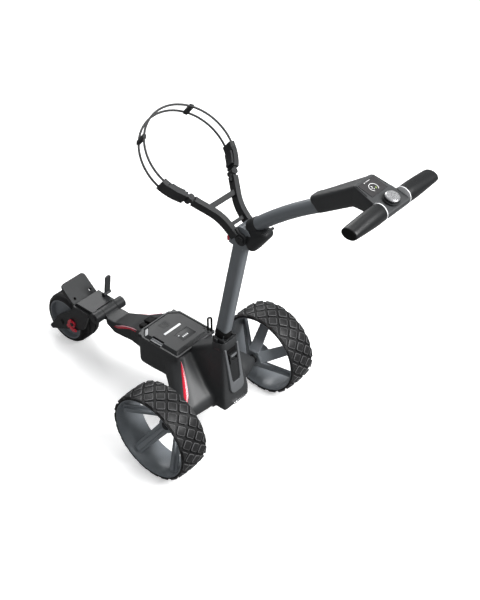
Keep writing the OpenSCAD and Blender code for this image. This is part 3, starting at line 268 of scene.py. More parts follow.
# A finish has a colour, which is fixed or named as in the panel, a roughness, and what differs from a plain finish.
looks = {
    "shell_plastic": ("shell", 0.46, dict(grain=1500, depth=0.16, edge_wear_and_highlight=0.3)),
    "dark_plastic": ("dark", 0.4, dict(grain=1500, depth=0.14, edge_wear_and_highlight=0.35, level=0.35)),
    "cover_plastic": ("cover", 0.38, dict(grain=1500, edge_wear_and_highlight=0.3)),
    "slate_paint": ("slate", 0.36, dict(metal=0.15, grain=2600, depth=0.05, drift=0.1, coat=0.15)),
    "rim_plastic": ("rim", 0.33, dict(metal=0.1, grain=1800, depth=0.06, drift=0.1, edge=0.0016)),
    # The front rim takes a copy of the rim finish without its metal, so it reads a little lighter: a lit copy, painted
    # light.
    "front_rim_lit_copy": ("rim", 0.36, dict(grain=1800, depth=0.06, drift=0.1, edge=0.0016)),
    "tyre_rubber": ("tyre", 0.5, dict(grain=700, depth=0.3, edge=0.0022, drift=0.3, level=0.3)),
    # Paler rubber on the blocks' rounded upper edges is a painted highlight; darker rubber on the carcass between the
    # blocks is painted shade.
    "tyre_edge_highlight": ((0.105, 0.105, 0.108), 0.45, dict(grain=700, depth=0.2, edge=0.0, edge_wear_and_highlight=0.0, drift=0.9, level=0.3)),
    "tyre_groove_shade": ((0.007, 0.007, 0.0075), 0.6, dict(grain=700, depth=0.3, edge=0.0, edge_wear_and_highlight=0.0, drift=0.3, level=0.3)),
    "accent_gloss": ("accent", 0.22, dict(grain=500, depth=0.02, edge_wear_and_highlight=0.15, drift=0.06, coat=0.5)),
    # A pale pink strip along each red trim's edge is the painted highlight of its glossy bevel.
    "accent_painted_highlight": ((0.86, 0.42, 0.48), 0.2, dict(grain=500, depth=0.02, edge_wear_and_highlight=0.1, drift=0.05, coat=0.4)),
    "lid_plastic": ("lid", 0.42, dict(grain=1500, depth=0.16, edge_wear_and_highlight=0.35, level=0.35)),
    "display_plastic": ((0.03, 0.029, 0.03), 0.24, dict(grain=1200, depth=0.03, edge_wear_and_highlight=0.2, spread=0.06, coat=0.2)),
    # Near-black for real black parts, and for blocks laid in openings, recesses and slots as painted shade.
    "black_and_gap_shade": ((0.004, 0.004, 0.004), 0.7, dict(edge_wear_and_highlight=0.1, level=0.2)),
    "dark_chrome": ((0.1, 0.1, 0.105), 0.18, dict(metal=1.0, grain=240, depth=0.01, edge_wear_and_highlight=0.4, drift=0.06, spread=0.05)),
    "bright_steel": ((0.6, 0.6, 0.61), 0.27, dict(metal=1.0, grain=300, depth=0.05, edge_wear_and_highlight=0.1, drift=0.1,
                                                    stretch=(1, 0.08, 1))),
    "chrome": ((0.8, 0.8, 0.82), 0.1, dict(metal=1.0, grain=240, depth=0.01, edge_wear_and_highlight=0.0, drift=0.04, spread=0.04)),
    "dial_metal": ((0.58, 0.58, 0.59), 0.3, dict(metal=0.9, depth=0.06, edge_wear_and_highlight=0.2, drift=0.12, stretch=(1, 0.2, 1))),
    "gear_brass": ((0.62, 0.44, 0.16), 0.34, dict(metal=1.0, grain=600, depth=0.05)),
    "motor_paint": ((0.12, 0.125, 0.13), 0.42, dict(metal=0.4, depth=0.08)),
    "board_lacquer": ((0.03, 0.16, 0.08), 0.35, dict(grain=220, depth=0.08, drift=0.4, coat=0.4)),
    "cord_elastic": ((0.018, 0.018, 0.019), 0.6, dict(grain=2200, depth=0.5, edge=0.0003, sheen=0.2)),
    "grip_rubber": ((0.011, 0.0115, 0.012), 0.34, dict(grain=1900, depth=0.16, edge_wear_and_highlight=0.0, level=0.25)),
    # Pale print for the markings; the grip rings take it too, as a painted reflection.
    "pale_print_and_ring_reflection": ("print_and_ring_reflection", 0.4, dict(grain=2000, depth=0.04, edge_wear_and_highlight=0.0, drift=0.05)),
    # The gauge's white marks and green level bars are given a faint glow: painted light.
    "gauge_white": ((0.8, 0.8, 0.8), 0.35, dict(grain=2000, depth=0.02, edge_wear_and_highlight=0.0, drift=0.05, glow=0.15)),
    "gauge_green": ((0.3, 0.42, 0.1), 0.35, dict(grain=2000, depth=0.02, edge_wear_and_highlight=0.0, drift=0.05, glow=0.15)),
    "floor_paint": ("floor", 0.9, dict(grain=3, depth=0.0, edge_wear_and_highlight=0.0, drift=0.004, edge=0.0, spread=0.02, level=0.1)),
}


def look(name):
    """The finish of this name."""
    colour, rough, more = looks[name]
    return finish(name, getattr(colours(), colour) if isinstance(colour, str) else colour, rough, **more)


def paint(style, *names):
    """CAD nodes whose shape is right keep their mesh and get this finish."""
    for name in names:
        materials = nodes[name].data.materials
        materials.clear()
        materials.append(look(style))


def soften(radius, *names):
    """CAD nodes whose sharp edges are rounded by a modifier."""
    crease = math.radians(40)
    for name in names:
        soft = nodes[name].modifiers.new("soft", "BEVEL")
        soft.width, soft.segments, soft.limit_method, soft.angle_limit = radius, 3, "ANGLE", crease
        nodes[name].data.shade_smooth()
        nodes[name].data.set_sharp_from_angle(angle=crease)


def placed(name, data):
    """A new object in the scene."""
    made = bpy.data.objects.new(name, data)
    bpy.context.scene.collection.objects.link(made)
    return made


def meshed(name, bm):
    """A mesh from a bmesh, which is freed."""
    mesh = bpy.data.meshes.new(name)
    bm.to_mesh(mesh)
    bm.free()
    return mesh


def piece(name, bm, body, style, sharp=35, loose_normals=True, also=()):
    """A new object from a bmesh, at the origin, riding on a body; also names the finishes of marked faces."""
    if loose_normals:
        bmesh.ops.recalc_face_normals(bm, faces=bm.faces)
    mesh = meshed(name, bm)
    mesh.shade_smooth()
    mesh.set_sharp_from_angle(angle=math.radians(sharp))
    for used in (style, *also):
        mesh.materials.append(look(used))
    made = placed(name, mesh)
    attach(made, body)
    return made


def edges_of(verts):
    """The edges that meet at these vertices."""
    return list({e for v in verts for e in v.link_edges})


def upright(verts, rise):
    """The edges at these vertices that climb by more than this."""
    return [e for e in edges_of(verts) if abs(e.verts[0].co.z - e.verts[1].co.z) > rise]


def ring_edges(verts):
    """The edges of a closed loop of vertices."""
    chosen = set(verts)
    return [e for e in edges_of(verts) if set(e.verts) <= chosen]


def verts_in(geom):
    """The vertices among what an operator gives back."""
    return [g for g in geom if isinstance(g, bmesh.types.BMVert)]


def bevel(bm, edges, offset, segments):
    """Rounds edges."""
    bmesh.ops.bevel(bm, geom=edges, offset=offset, offset_type="OFFSET", segments=segments, profile=0.5,
                    affect="EDGES", clamp_overlap=True, material=-1)


def cut(bm, point, normal):
    """Takes away what lies beyond a plane, on the side that its normal points to."""
    bmesh.ops.bisect_plane(bm, geom=bm.verts[:] + bm.edges[:] + bm.faces[:], dist=1e-6, plane_co=point,
                           plane_no=Vector(normal).normalized(), clear_outer=True)


def close(bm):
    """Fills all openings."""
    bmesh.ops.holes_fill(bm, edges=[e for e in bm.edges if e.is_boundary], sides=0)


def outline(bm, corners):
    """The vertices and the edges of a closed line."""
    verts = [bm.verts.new(corner) for corner in corners]
    return verts, [bm.edges.new(pair) for pair in zip(verts, verts[1:] + verts[:1])]


def loft(rings, segments=48):
    """A new bmesh that bridges circles, placed and stretched by their matrices, and closes the ends."""
    bm = bmesh.new()
    loops = [bmesh.ops.create_circle(bm, segments=segments, radius=1, matrix=m)["verts"] for m in rings]
    for a, b in zip(loops, loops[1:]):
        bmesh.ops.bridge_loops(bm, edges=ring_edges(a) + ring_edges(b))
    for loop in (loops[0], loops[-1]):
        bmesh.ops.contextual_create(bm, geom=loop)
    return bm


def block(bm, size, place, round_off=0.0, segments=2):
    """A box added to a bmesh, with its edges rounded, or else with its corners given back."""
    verts = bmesh.ops.create_cube(bm, size=1, matrix=place @ Matrix.Diagonal((*size, 1)))["verts"]
    if round_off:
        return bevel(bm, edges_of(verts), round_off, segments)
    return verts


def blocks(name, body, style, slot, *rows):
    """A piece of boxes, each given as block takes it."""
    bm = bmesh.new()
    for row in rows:
        block(bm, *row)
    return piece(name, bm, body, style)


def spun(bm, corners, place, steps=96, arc=360):
    """Spins a closed outline of (radius, height) points about the place's z axis, whole or as an arc."""
    old = set(bm.verts)
    verts, edges = outline(bm, [(radius, 0, height) for radius, height in corners])
    whole = arc == 360
    last = bmesh.ops.spin(bm, geom=verts + edges, cent=(0, 0, 0), axis=(0, 0, 1), dvec=(0, 0, 0),
                          angle=math.radians(arc), steps=steps, use_merge=whole, use_duplicate=False)["geom_last"]
    if not whole:
        bmesh.ops.contextual_create(bm, geom=verts)
        bmesh.ops.contextual_create(bm, geom=verts_in(last))
    bmesh.ops.transform(bm, matrix=place, verts=[v for v in bm.verts if v not in old])


def hoop(bm, inner, outer, low, high, place, steps, arc=360):
    """A flat ring or a part of one, between two radii and two heights."""
    spun(bm, ((inner, low), (outer, low), (outer, high), (inner, high)), place, steps, arc)


def tapered(bm, length, wide, tall, place, round_off):
    """A bar along x whose width and height run from a first to a last value, with its edges rounded."""
    old = set(bm.verts)
    verts = bmesh.ops.create_cube(bm, size=1)["verts"]
    for v in verts:
        end = int(v.co.x > 0)
        v.co = Vector((length * end, wide[end] * v.co.y, tall[end] * (v.co.z + 0.5)))
    bevel(bm, edges_of(verts), round_off, 3)
    bmesh.ops.transform(bm, matrix=place, verts=[v for v in bm.verts if v not in old])


def hull(bm, boxes, balls=()):
    """A convex body round boxes, given by two corners, and balls, all in millimetres, added to a bmesh."""
    made = bmesh.new()
    for corners in boxes:
        low, high = points(*corners)
        block(made, high - low, Matrix.Translation((low + high) / 2))
    for centre, radius in balls:
        bmesh.ops.create_icosphere(made, subdivisions=3, radius=radius / 1000,
                                   matrix=Matrix.Translation(Vector(centre) / 1000))
    bmesh.ops.delete(made, geom=made.edges[:] + made.faces[:], context="EDGES_FACES")
    bmesh.ops.convex_hull(made, input=made.verts[:])
    bmesh.ops.delete(made, geom=[v for v in made.verts if not v.link_faces], context="VERTS")
    mesh = meshed("hull", made)
    bm.from_mesh(mesh)
    bpy.data.meshes.remove(mesh)


def between(keys, t):
    """Reads a value at t from (t, value) pairs, straight from one pair to the next."""
    for (a, low), (b, high) in zip(keys, keys[1:]):
        if t <= b:
            return low + (high - low) * (t - a) / (b - a)
    return keys[-1][1]


def evaluated(thing):
    """A new mesh of an object with its modifiers."""
    return bpy.data.meshes.new_from_object(thing.evaluated_get(bpy.context.evaluated_depsgraph_get()))


def moulded_skin(name, stands_for, body, style, voxel, stages, sealed_by=(), form=None, drop=None):
    """CAD solids, or the form drawn for them, remeshed and relaxed so that their creases read as moulded fillets.

    Each stage relaxes the points that it names for some rounds. The solids in sealed_by close the openings
    meanwhile, and drop says which points go again.
    """
    share_kept = 0.7
    bm = bmesh.new()
    for node in (*(() if form else stands_for), *sealed_by):
        bm.from_mesh(nodes[node].data)
    if form:
        form(bm)
    bmesh.ops.remove_doubles(bm, verts=bm.verts, dist=2e-5)
    holder = placed("rough", meshed("rough", bm))
    cells = holder.modifiers.new("cells", "REMESH")
    cells.mode = "VOXEL"
    cells.voxel_size = voxel
    fine = evaluated(holder)
    bm = bmesh.new()
    bm.from_mesh(fine)
    for rounds, free in stages:
        soft = [v for v in bm.verts if free(v.co)]
        for _ in range(rounds):
            bmesh.ops.smooth_vert(bm, verts=soft, factor=0.5, use_axis_x=True, use_axis_y=True, use_axis_z=True)
    if drop:
        bmesh.ops.delete(bm, geom=[v for v in bm.verts if drop(v.co)], context="VERTS")
    bm.to_mesh(fine)
    holder.data = fine
    holder.modifiers.clear()
    holder.modifiers.new("thin", "DECIMATE").ratio = share_kept
    thinned = evaluated(holder)
    bm.clear()
    bm.from_mesh(thinned)
    bpy.data.meshes.remove(thinned)
    bpy.data.objects.remove(holder)
    skin = piece(name, bm, body, style, sharp=60, loose_normals=False)
    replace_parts(skin, *stands_for)
    return skin


def strip_on(name, skin, path, widths, style):
    """A long strip that lies on a skin along a path, as wide at each part of its length as widths says."""
    rise, crown, sink = 0.0004, 0.0012, 0.002
    carrier = bmesh.new()
    carrier.from_mesh(skin.data)
    tree = BVHTree.FromBMesh(carrier)
    carrier.free()
    bm = bmesh.new()
    bmesh.ops.create_grid(bm, x_segments=36, y_segments=6, size=0.5)
    tops = []
    for v in bm.verts:
        along, across = v.co.x + 0.5, 2 * v.co.y
        spot = along * (len(path) - 1)
        i = min(int(spot), len(path) - 2)
        run = path[i + 1] - path[i]
        middle = path[i] + run * (spot - i)
        normal = tree.find_nearest(middle)[1]
        side = normal.cross(run).normalized()
        ground, normal = tree.find_nearest(middle + side * across * between(widths, along) / 2)[:2]
        v.co = ground - normal * sink
        tops.append(ground + normal * (rise + crown * (1 - across * across)))
    raised = {tuple(v.co): top for v, top in zip(bm.verts, tops)}
    upper = bmesh.ops.extrude_face_region(bm, geom=bm.faces[:], use_keep_orig=True)["geom"]
    for v in verts_in(upper):
        v.co = raised[tuple(v.co)]
    bmesh.ops.remove_doubles(bm, verts=bm.verts, dist=1e-5)
    return piece(name, bm, "root", style, sharp=50)


class TROLLEY_OT_stage(Operator):
    """Set up the camera, the floor and the studio light"""

    bl_idname = "trolley.stage"
    bl_label = "Stage"

    def execute(self, context):
        scene = context.scene
        scene.view_settings.view_transform = "Standard"
        lens = bpy.data.cameras.new("camera")
        lens.lens, lens.sensor_width, lens.clip_end = 66.12, 36.0, 100
        scene.camera = placed("camera", lens)
        self.aim(scene.camera, (-1.74579, 1.82259, 2.4092), (-0.11343, -0.0692, 0.4541))
        bm = bmesh.new()
        bmesh.ops.create_grid(bm, x_segments=1, y_segments=1, size=sizes().floor_half)
        floor = placed("floor", meshed("floor", bm))
        floor.data.materials.append(self.floor_paint())
        self.sky(scene)
        for name, spot, width, power in (
                ("key", (-2.7, -0.7, 3.0), 1.8, 215), ("top", (0.4, -0.6, 3.6), 2.4, 45),
                ("fill", (-1.4, 3.0, 1.6), 2.0, 9), ("back", (2.4, -1.6, 2.2), 1.6, 40)):
            light = bpy.data.lights.new(name, "AREA")
            light.size, light.energy = width, power
            self.aim(placed(name, light), spot, (0, 0, 0.4))
        return {"FINISHED"}

    def aim(self, thing, spot, target):
        """Puts a camera or a lamp on a spot and turns it to a target."""
        thing.location = spot
        thing.rotation_euler = (Vector(target) - Vector(spot)).to_track_quat("-Z", "Y").to_euler()

    def floor_paint(self):
        """A pale floor that keeps the shadow, reads as white to the camera and throws little light back up."""
        lift, bounced = 0.42, (0.2, 0.2, 0.2, 1)
        material = look("floor_paint")
        tree = material.node_tree
        shader = tree.nodes["Principled BSDF"]
        pale = shader.inputs["Base Color"].links[0].from_socket
        seen = add(tree, "LightPath", {})["Is Camera Ray"]
        strength = add(tree, "Math", {0: seen, 1: lift}, operation="MULTIPLY")[0]
        glow = add(tree, "Emission", {"Strength": strength})[0]
        swap = add(tree, "Mix", {"Factor": seen, 6: bounced, 7: pale}, data_type="RGBA")
        plug(tree, shader, {"Base Color": swap[2]})
        both = add(tree, "AddShader", {0: shader.outputs[0], 1: glow})
        plug(tree, tree.nodes["Material Output"], {"Surface": both[0]})
        return material

    def sky(self, scene):
        """Even light all round, white to the camera and behind clear pieces."""
        world = bpy.data.worlds.new("studio")
        scene.world = world
        world.use_nodes = True
        tree = world.node_tree
        even = tree.nodes["Background"]
        plug(tree, even, {"Color": (0.96, 0.98, 1.0, 1), "Strength": 0.28})
        white = add(tree, "Background", {"Color": (1, 1, 1, 1)})
        seen = add(tree, "LightPath", {})
        either = add(tree, "Math", {0: seen["Is Camera Ray"], 1: seen["Is Transmission Ray"]}, operation="MAXIMUM")
        mix = add(tree, "MixShader", {0: either[0], 1: even.outputs[0], 2: white[0]})
        plug(tree, tree.nodes["World Output"], {"Surface": mix[0]})


class TROLLEY_OT_strap(Operator):
    """Spin the two cords of the bag strap and finish their clips"""

    bl_idname = "trolley.strap"
    bl_label = "Strap"

    def execute(self, context):
        size = sizes()
        reach, steps, spacing = 111, 72, 0.0165
        for name, height in (("strap_cord_upper", spacing), ("strap_cord_lower", -spacing)):
            bm = bmesh.new()
            start = turned(-reach, "Z") @ at(size.loop_radius, 0, height)
            ring = bmesh.ops.create_circle(bm, cap_ends=False, segments=14, radius=size.cord_diameter / 2,
                                           matrix=start @ turned(90, "X"))["verts"]
            bmesh.ops.spin(bm, geom=ring_edges(ring), cent=(0, 0, 0), axis=(0, 0, 1), dvec=(0, 0, 0),
                           angle=math.radians(2 * reach), steps=steps, use_merge=False, use_duplicate=False)
            close(bm)
            bmesh.ops.transform(bm, matrix=loop_place, verts=bm.verts)
            cord = piece(name, bm, "bag_support", "cord_elastic")
            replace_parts(cord, "strap_cords")
            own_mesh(cord)
        paint("dark_plastic", "strap_clips")
        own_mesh(nodes["strap_clips"])
        return {"FINISHED"}


class TROLLEY_OT_wheels(Operator):
    """Tread the rear tyres, spoke the rear rims and finish the front wheel"""

    bl_idname = "trolley.wheels"
    bl_label = "Wheels"

    def execute(self, context):
        for side, hand, first_spoke in (("left", -1, 55), ("right", 1, 12)):
            inner = min(abs(corner.y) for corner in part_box("tyre_" + side))
            place = at(axle.x, -hand * inner, axle.z) @ turned(90 * hand, "X")
            self.tyre("tread_tyre_" + side, "tyre_" + side, "wheel_" + side, place)
            self.rim("spoked_rim_" + side, "rim_" + side, "wheel_" + side, place, first_spoke)
        paint("tyre_rubber", "front_tyre")
        # The front rim's lighter, lit copy of the rim finish: painted light.
        paint("front_rim_lit_copy", "front_rim")
        paint("dark_plastic", "release_left", "release_right")
        return {"FINISHED"}

    def tyre(self, name, node, body, place):
        """A carcass with rows of rounded blocks that stand on their corners, cut off at the tyre's sides, with painted
        highlights on the blocks' upper edges and painted shade on the carcass between them.
        """
        size = sizes()
        tread, pitch = size.tread_radius, 2 * math.pi / size.tread_blocks
        wide, side_cut, step = 0.097, 0.0022, pitch * tread / 2
        bm = bmesh.new()
        block_form = self.knob(bm)
        for row in range(-2, 3):
            for i in range(size.tread_blocks):
                spot = (Matrix.Rotation((i + row / 2) * pitch, 4, "Z")
                        @ at(tread - 0.0004 - 0.0008 * row * row, 0, wide / 2 + row * step)
                        @ turned(90, "Y") @ turned(-5 * row, "Y") @ turned(45, "Z"))
                copy = bmesh.ops.duplicate(bm, geom=block_form)["geom"]
                bmesh.ops.transform(bm, matrix=spot, verts=verts_in(copy))
        bmesh.ops.delete(bm, geom=verts_in(block_form), context="VERTS")
        cut(bm, (0, 0, side_cut), (0, 0, -1))
        cut(bm, (0, 0, wide - side_cut), (0, 0, 1))
        close(bm)
        old = set(bm.faces)
        carcass = ((-13, 0), (-8.5, 0), (-7.4, 4), (-6.8, 20), (-6.4, 48.5), (-6.8, 77), (-7.4, 93), (-8.5, 97),
                   (-13, 97))
        spun(bm, [(tread + r / 1000, h / 1000) for r, h in carcass], Matrix.Identity(4), 120)
        # The carcass between the blocks takes the darker finish: painted shade in the grooves.
        for face in bm.faces:
            if face not in old:
                face.material_index = 2
        bmesh.ops.transform(bm, matrix=place, verts=bm.verts)
        made = piece(name, bm, body, "tyre_rubber", sharp=40, also=("tyre_edge_highlight", "tyre_groove_shade"))
        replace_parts(made, node)

    def rim(self, name, node, body, place, first_spoke):
        """A barrel, a hub and five spokes that lean out from the hub to the barrel, each with a raised back."""
        bed = 1000 * sizes().tread_radius - 13
        barrel = ((bed, 0.5), (bed, 96.5), (bed - 2.4, 96.5), (bed - 3.6, 91), (bed - 5.5, 45), (bed - 5.5, 6),
                  (bed - 3.5, 0.5))
        hub = ((6.3, -23), (24, -23), (28, -19), (31, -10), (30, 0), (27, 12), (25, 24), (24, 26), (13.6, 26),
               (13.6, 12), (6.3, 12))
        bm = bmesh.new()
        for corners, steps in ((barrel, 128), (hub, 64)):
            spun(bm, [(r / 1000, h / 1000) for r, h in corners], place, steps)
        near, far = Vector((0.021, 0, -0.021)), Vector(((bed - 4.2) / 1000, 0, 0.076))
        run = far - near
        for i in range(5):
            spoke = (place @ turned(first_spoke + 72 * i, "Z") @ Matrix.Translation(near)
                     @ Matrix.Rotation(-math.atan2(run.z, run.x), 4, "Y"))
            tapered(bm, run.length, (0.041, 0.031), (0.008, 0.005), spoke @ at(0, 0, -0.003), 0.0018)
            tapered(bm, run.length - 0.003, (0.01, 0.018), (0.014, 0.0105), spoke, 0.0024)
        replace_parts(piece(name, bm, body, "rim_plastic", sharp=40), node)

    def knob(self, bm):
        """One tread block at the origin of an empty bmesh, with round corners and a soft upper edge."""
        wide, deep = 0.0255, 0.011
        corners = block(bm, (wide, wide, deep), at(0, 0, -deep / 2))
        bevel(bm, upright(corners, deep / 2), 0.0042, 3)
        top = max(bm.faces, key=lambda f: f.calc_center_median().z)
        bevel(bm, list(top.edges), 0.0016, 2)
        # Faces of the soft upper edge take the paler finish: a painted highlight.
        for face in bm.faces:
            face.normal_update()
            face.material_index = int(0.15 < face.normal.z < 0.97)
        return bm.verts[:] + bm.edges[:] + bm.faces[:]


class TROLLEY_OT_drive(Operator):
    """Finish the axle, the gears, the motor and the board"""

    bl_idname = "trolley.drive"
    bl_label = "Drive"

    def execute(self, context):
        paint("bright_steel", "drive_axle")
        paint("gear_brass", "drive_gear", "motor_pinion")
        paint("dark_plastic", "axle_bearings")
        paint("motor_paint", "motor", "gearbox_case")
        paint("board_lacquer", "controller_board")
        return {"FINISHED"}


class TROLLEY_OT_chassis(Operator):
    """Mould the skins of the chassis and of the front arm, lay the red strips on them and set the socket's collar"""

    bl_idname = "trolley.chassis"
    bl_label = "Chassis"

    def execute(self, context):
        size = sizes()
        tray_low, tray_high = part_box("battery_tray")
        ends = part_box("chassis_shell")[1].y
        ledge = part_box("battery_lid")[0].z
        wall = 0.0075
        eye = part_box("front_pin")
        pin_x, pin_z = (eye[0].x + eye[1].x) / 2, (eye[0].z + eye[1].z) / 2

        def over_tray(p, spare):
            return tray_low.x - spare < p.x < tray_high.x + spare and abs(p.y) < tray_high.y + spare

        def free(p):
            return abs(p.y) < ends - 0.01 and not (p.z > ledge - 0.005 and over_tray(p, 0.003))

        def form(bm):
            """Tray, ramp from the tray to the tapered axle housing, belly, and the spine that carries the shaft."""
            hull(bm, (((5, -80, 169), (169, 80, 262)), ((113, -78, 157), (165, 78, 197))))
            hull(bm, (((0, -60, 168), (58, 60, 258)), ((0, -80, 170), (58, 80, 224))),
                 [((-79, side * y, 144), r) for side in (1, -1) for y, r in ((60, 38), (112, 33), (148, 22))])
            hull(bm, (((-110, -46, 104), (-1, 46, 180)), ((9, -72, 171), (79, 72, 210))))
            hull(bm, (((-137, -30, 306), (-90, 30, 338)), ((-163, -55, 128), (-91, 55, 164)),
                      ((-6, -21, 200), (24, 21, 260))))

        def in_tray(p):
            inside = p.z > ledge - 0.04 and tray_low.x + wall < p.x < tray_high.x - wall
            return over_tray(p, 0.0015) and (p.z > ledge + 0.0003 or (inside and abs(p.y) < tray_high.y - wall))

        def off_pin(p):
            return math.hypot(p.x - pin_x, p.z - pin_z) > 0.024 and p.x > tray_high.x + 0.002

        skin = moulded_skin("chassis_skin", ("chassis_shell", "chassis_pan"), "root", "shell_plastic", size.skin_voxel,
                            ((size.skin_rounds, free),), ("battery_tray",), form, in_tray)
        arm = moulded_skin("arm_skin", ("front_arm",), "root", "dark_plastic", 0.0018, ((14, off_pin),))
        self.strips(skin, arm)
        self.collar()
        # Two black blocks stand for the openings on the arm by the tray: painted shade.
        blocks("arm_recesses", "root", "black_and_gap_shade", "shell_plastic",
               ((0.03, 0.03, 0.016), at(0.194, -0.002, 0.255) @ turned(12, "Y"), 0.003),
               ((0.024, 0.018, 0.016), at(0.192, 0.031, 0.255) @ turned(12, "Y"), 0.003))
        paint("shell_plastic", "battery_tray")
        paint("dark_plastic", "shaft_socket", "front_pin", "base_pin")
        return {"FINISHED"}

    def strips(self, skin, arm):
        """Leaf-shaped red strips, each with a pale strip along one edge as a painted highlight, on the legs and along
        the arm; the right leg's end sooner.
        """
        leg = points((-2.8, 70.6, 247.8), (-19.4, 84.4, 234.7), (-36.5, 96.7, 219.7), (-53.6, 110.3, 203.0),
                     (-70.4, 124.5, 186.5), (-83.4, 135.0, 173.8))
        # The paths edge and line carry the pale strips, painted highlights along the red strips.
        edge = points((-2.8, 69.8, 248.7), (-25.5, 83.4, 232.1), (-45.5, 96.6, 213.8), (-64.2, 111.0, 195.8),
                      (-79.3, 124.3, 180.7))
        flank = points((322.0, 36.2, 187.5), (304.6, 37.7, 192.6), (284.0, 39.4, 205.5), (258.0, 42.0, 218.0),
                       (231.8, 45.5, 229.5), (200.0, 54.5, 243.0))
        line = points((316.0, 36.4, 194.0), (300.0, 37.8, 202.0), (282.0, 39.0, 212.5), (258.0, 40.8, 223.5),
                      (231.8, 44.0, 234.0), (197.0, 54.8, 249.5))
        leaf = ((0, 0.0008), (0.25, 0.0075), (0.6, 0.0125), (0.82, 0.013), (1, 0.004))
        highlight_widths = ((0, 0.0006), (0.2, 0.0022), (0.7, 0.0036), (0.9, 0.003), (1, 0.0006))
        spear = ((0, 0.0008), (0.25, 0.0075), (0.45, 0.008), (0.7, 0.003), (1, 0.0006))
        for side, name in ((1, "left"), (-1, "right")):
            flip = Matrix.Diagonal((1, side, 1)).to_3x3()
            for node, carrier, label, path, widths, style in (
                    ("side_trims", skin, "leg_strip_", leg, leaf, "accent_gloss"),
                    ("side_trims", skin, "leg_strip_highlight_", edge, highlight_widths, "accent_painted_highlight"),
                    ("arm_trims", arm, "arm_strip_", flank, spear, "accent_gloss"),
                    ("arm_trims", arm, "arm_strip_highlight_", line, highlight_widths, "accent_painted_highlight")):
                run = path[:4] if side < 0 and carrier is skin else path
                strip = strip_on(label + name, carrier, [flip @ p for p in run], widths, style)
                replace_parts(strip, node)

    def collar(self):
        """The upper lip of the column, round the shaft's socket at the back and the sides, and the socket's cheeks."""
        low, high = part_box("shaft_socket")
        tall = 0.034
        bm = bmesh.new()
        corners = block(bm, (high.x - low.x + 0.003, high.y - low.y + 0.002, tall),
                        at((low.x + high.x) / 2, 0, low.z + tall / 2 - 0.005))
        bevel(bm, upright(corners, tall / 2), 0.011, 5)
        cut(bm, (low.x, 0, low.z + 0.026), (0.26, 0, 1))
        cut(bm, (low.x + 0.04, 0, 0), (1, 0, 0))
        bmesh.ops.delete(bm, geom=[f for f in bm.faces if abs(f.normal.z) > 0.9], context="FACES")
        cheeks = blocks("socket_cheeks", "root", "dark_plastic", "shell_plastic",
                        *[((0.044, 0.006, 0.036), at(-0.111, y, 0.35), 0.0028) for y in (0.0225, -0.0225)],
                        ((0.006, 0.048, 0.032), at(-0.131, 0, 0.348), 0.002))
        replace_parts(cheeks, "shaft_socket")
        lip = piece("column_collar", bm, "root", "shell_plastic", sharp=50)
        wall = lip.modifiers.new("wall", "SOLIDIFY")
        wall.thickness, wall.offset = 0.0022, 1.0
        soft = lip.modifiers.new("soft", "BEVEL")
        soft.width, soft.segments, soft.limit_method = 0.0007, 2, "ANGLE"


class TROLLEY_OT_cover(Operator):
    """Build the open frame of the rear cover, the panels in it, a black block as painted shade in the latch's recess,
    the latch's tongue and a bright bar below as a painted highlight
    """

    bl_idname = "trolley.cover"
    bl_label = "Rear Cover"

    def execute(self, context):
        paint("dark_plastic", "shaft_latch")
        top, foot, bend = 84, -55, 19
        rim = [(29, top)]
        for middle, start in ((10, 0), (-10, -90)):
            rim += [(middle + bend * math.cos(a), foot + bend * math.sin(a))
                    for a in (math.radians(start - 15 * i) for i in range(7))]
        rim += [(-29, top), (-23, top), (-17, -28), (-13, -37), (13, -37), (17, -28), (23, top)]
        bm = bmesh.new()
        edges = outline(bm, [(-0.006, y / 1000, z / 1000) for y, z in rim])[1]
        face = bmesh.ops.edgeloop_fill(bm, edges=edges)["faces"]
        deep = bmesh.ops.extrude_face_region(bm, geom=face, use_keep_orig=True)["geom"]
        bmesh.ops.translate(bm, vec=(0.012, 0, 0), verts=verts_in(deep))
        bevel(bm, [e for e in bm.edges if all(v.co.x < 0 for v in e.verts)], 0.0018, 3)
        bmesh.ops.transform(bm, matrix=cover_place, verts=bm.verts)
        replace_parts(piece("cover_frame", bm, "root", "cover_plastic", sharp=30), "rear_cover")
        # A black block fills the latch's recess: painted shade.
        blocks("latch_recess", "root", "black_and_gap_shade", "shell_plastic",
               ((0.004, 0.039, 0.054), cover_place @ at(0.0004, 0, 0.056), 0.0012))
        blocks("cover_panel", "root", "dark_plastic", "shell_plastic",
               ((0.004, 0.0332, 0.068), cover_place @ at(-0.0012, 0, -0.004), 0.0012))
        blocks("latch_tongue", "shaft_latch", "cover_plastic", "cover_plastic",
               ((0.0034, 0.025, 0.007), cover_place @ at(-0.0086, 0, 0.056), 0.0012, 3),
               ((0.0022, 0.018, 0.0022), cover_place @ at(-0.0098, 0, 0.054), 0.0008))
        # A bright steel bar along the column's lower rear edge stands for the glint there: a painted highlight.
        blocks("column_glint_bar", "root", "bright_steel", "steel",
               ((0.007, 0.052, 0.0058), at(-0.1655, -0.006, 0.143), 0.0014, 3))
        return {"FINISHED"}


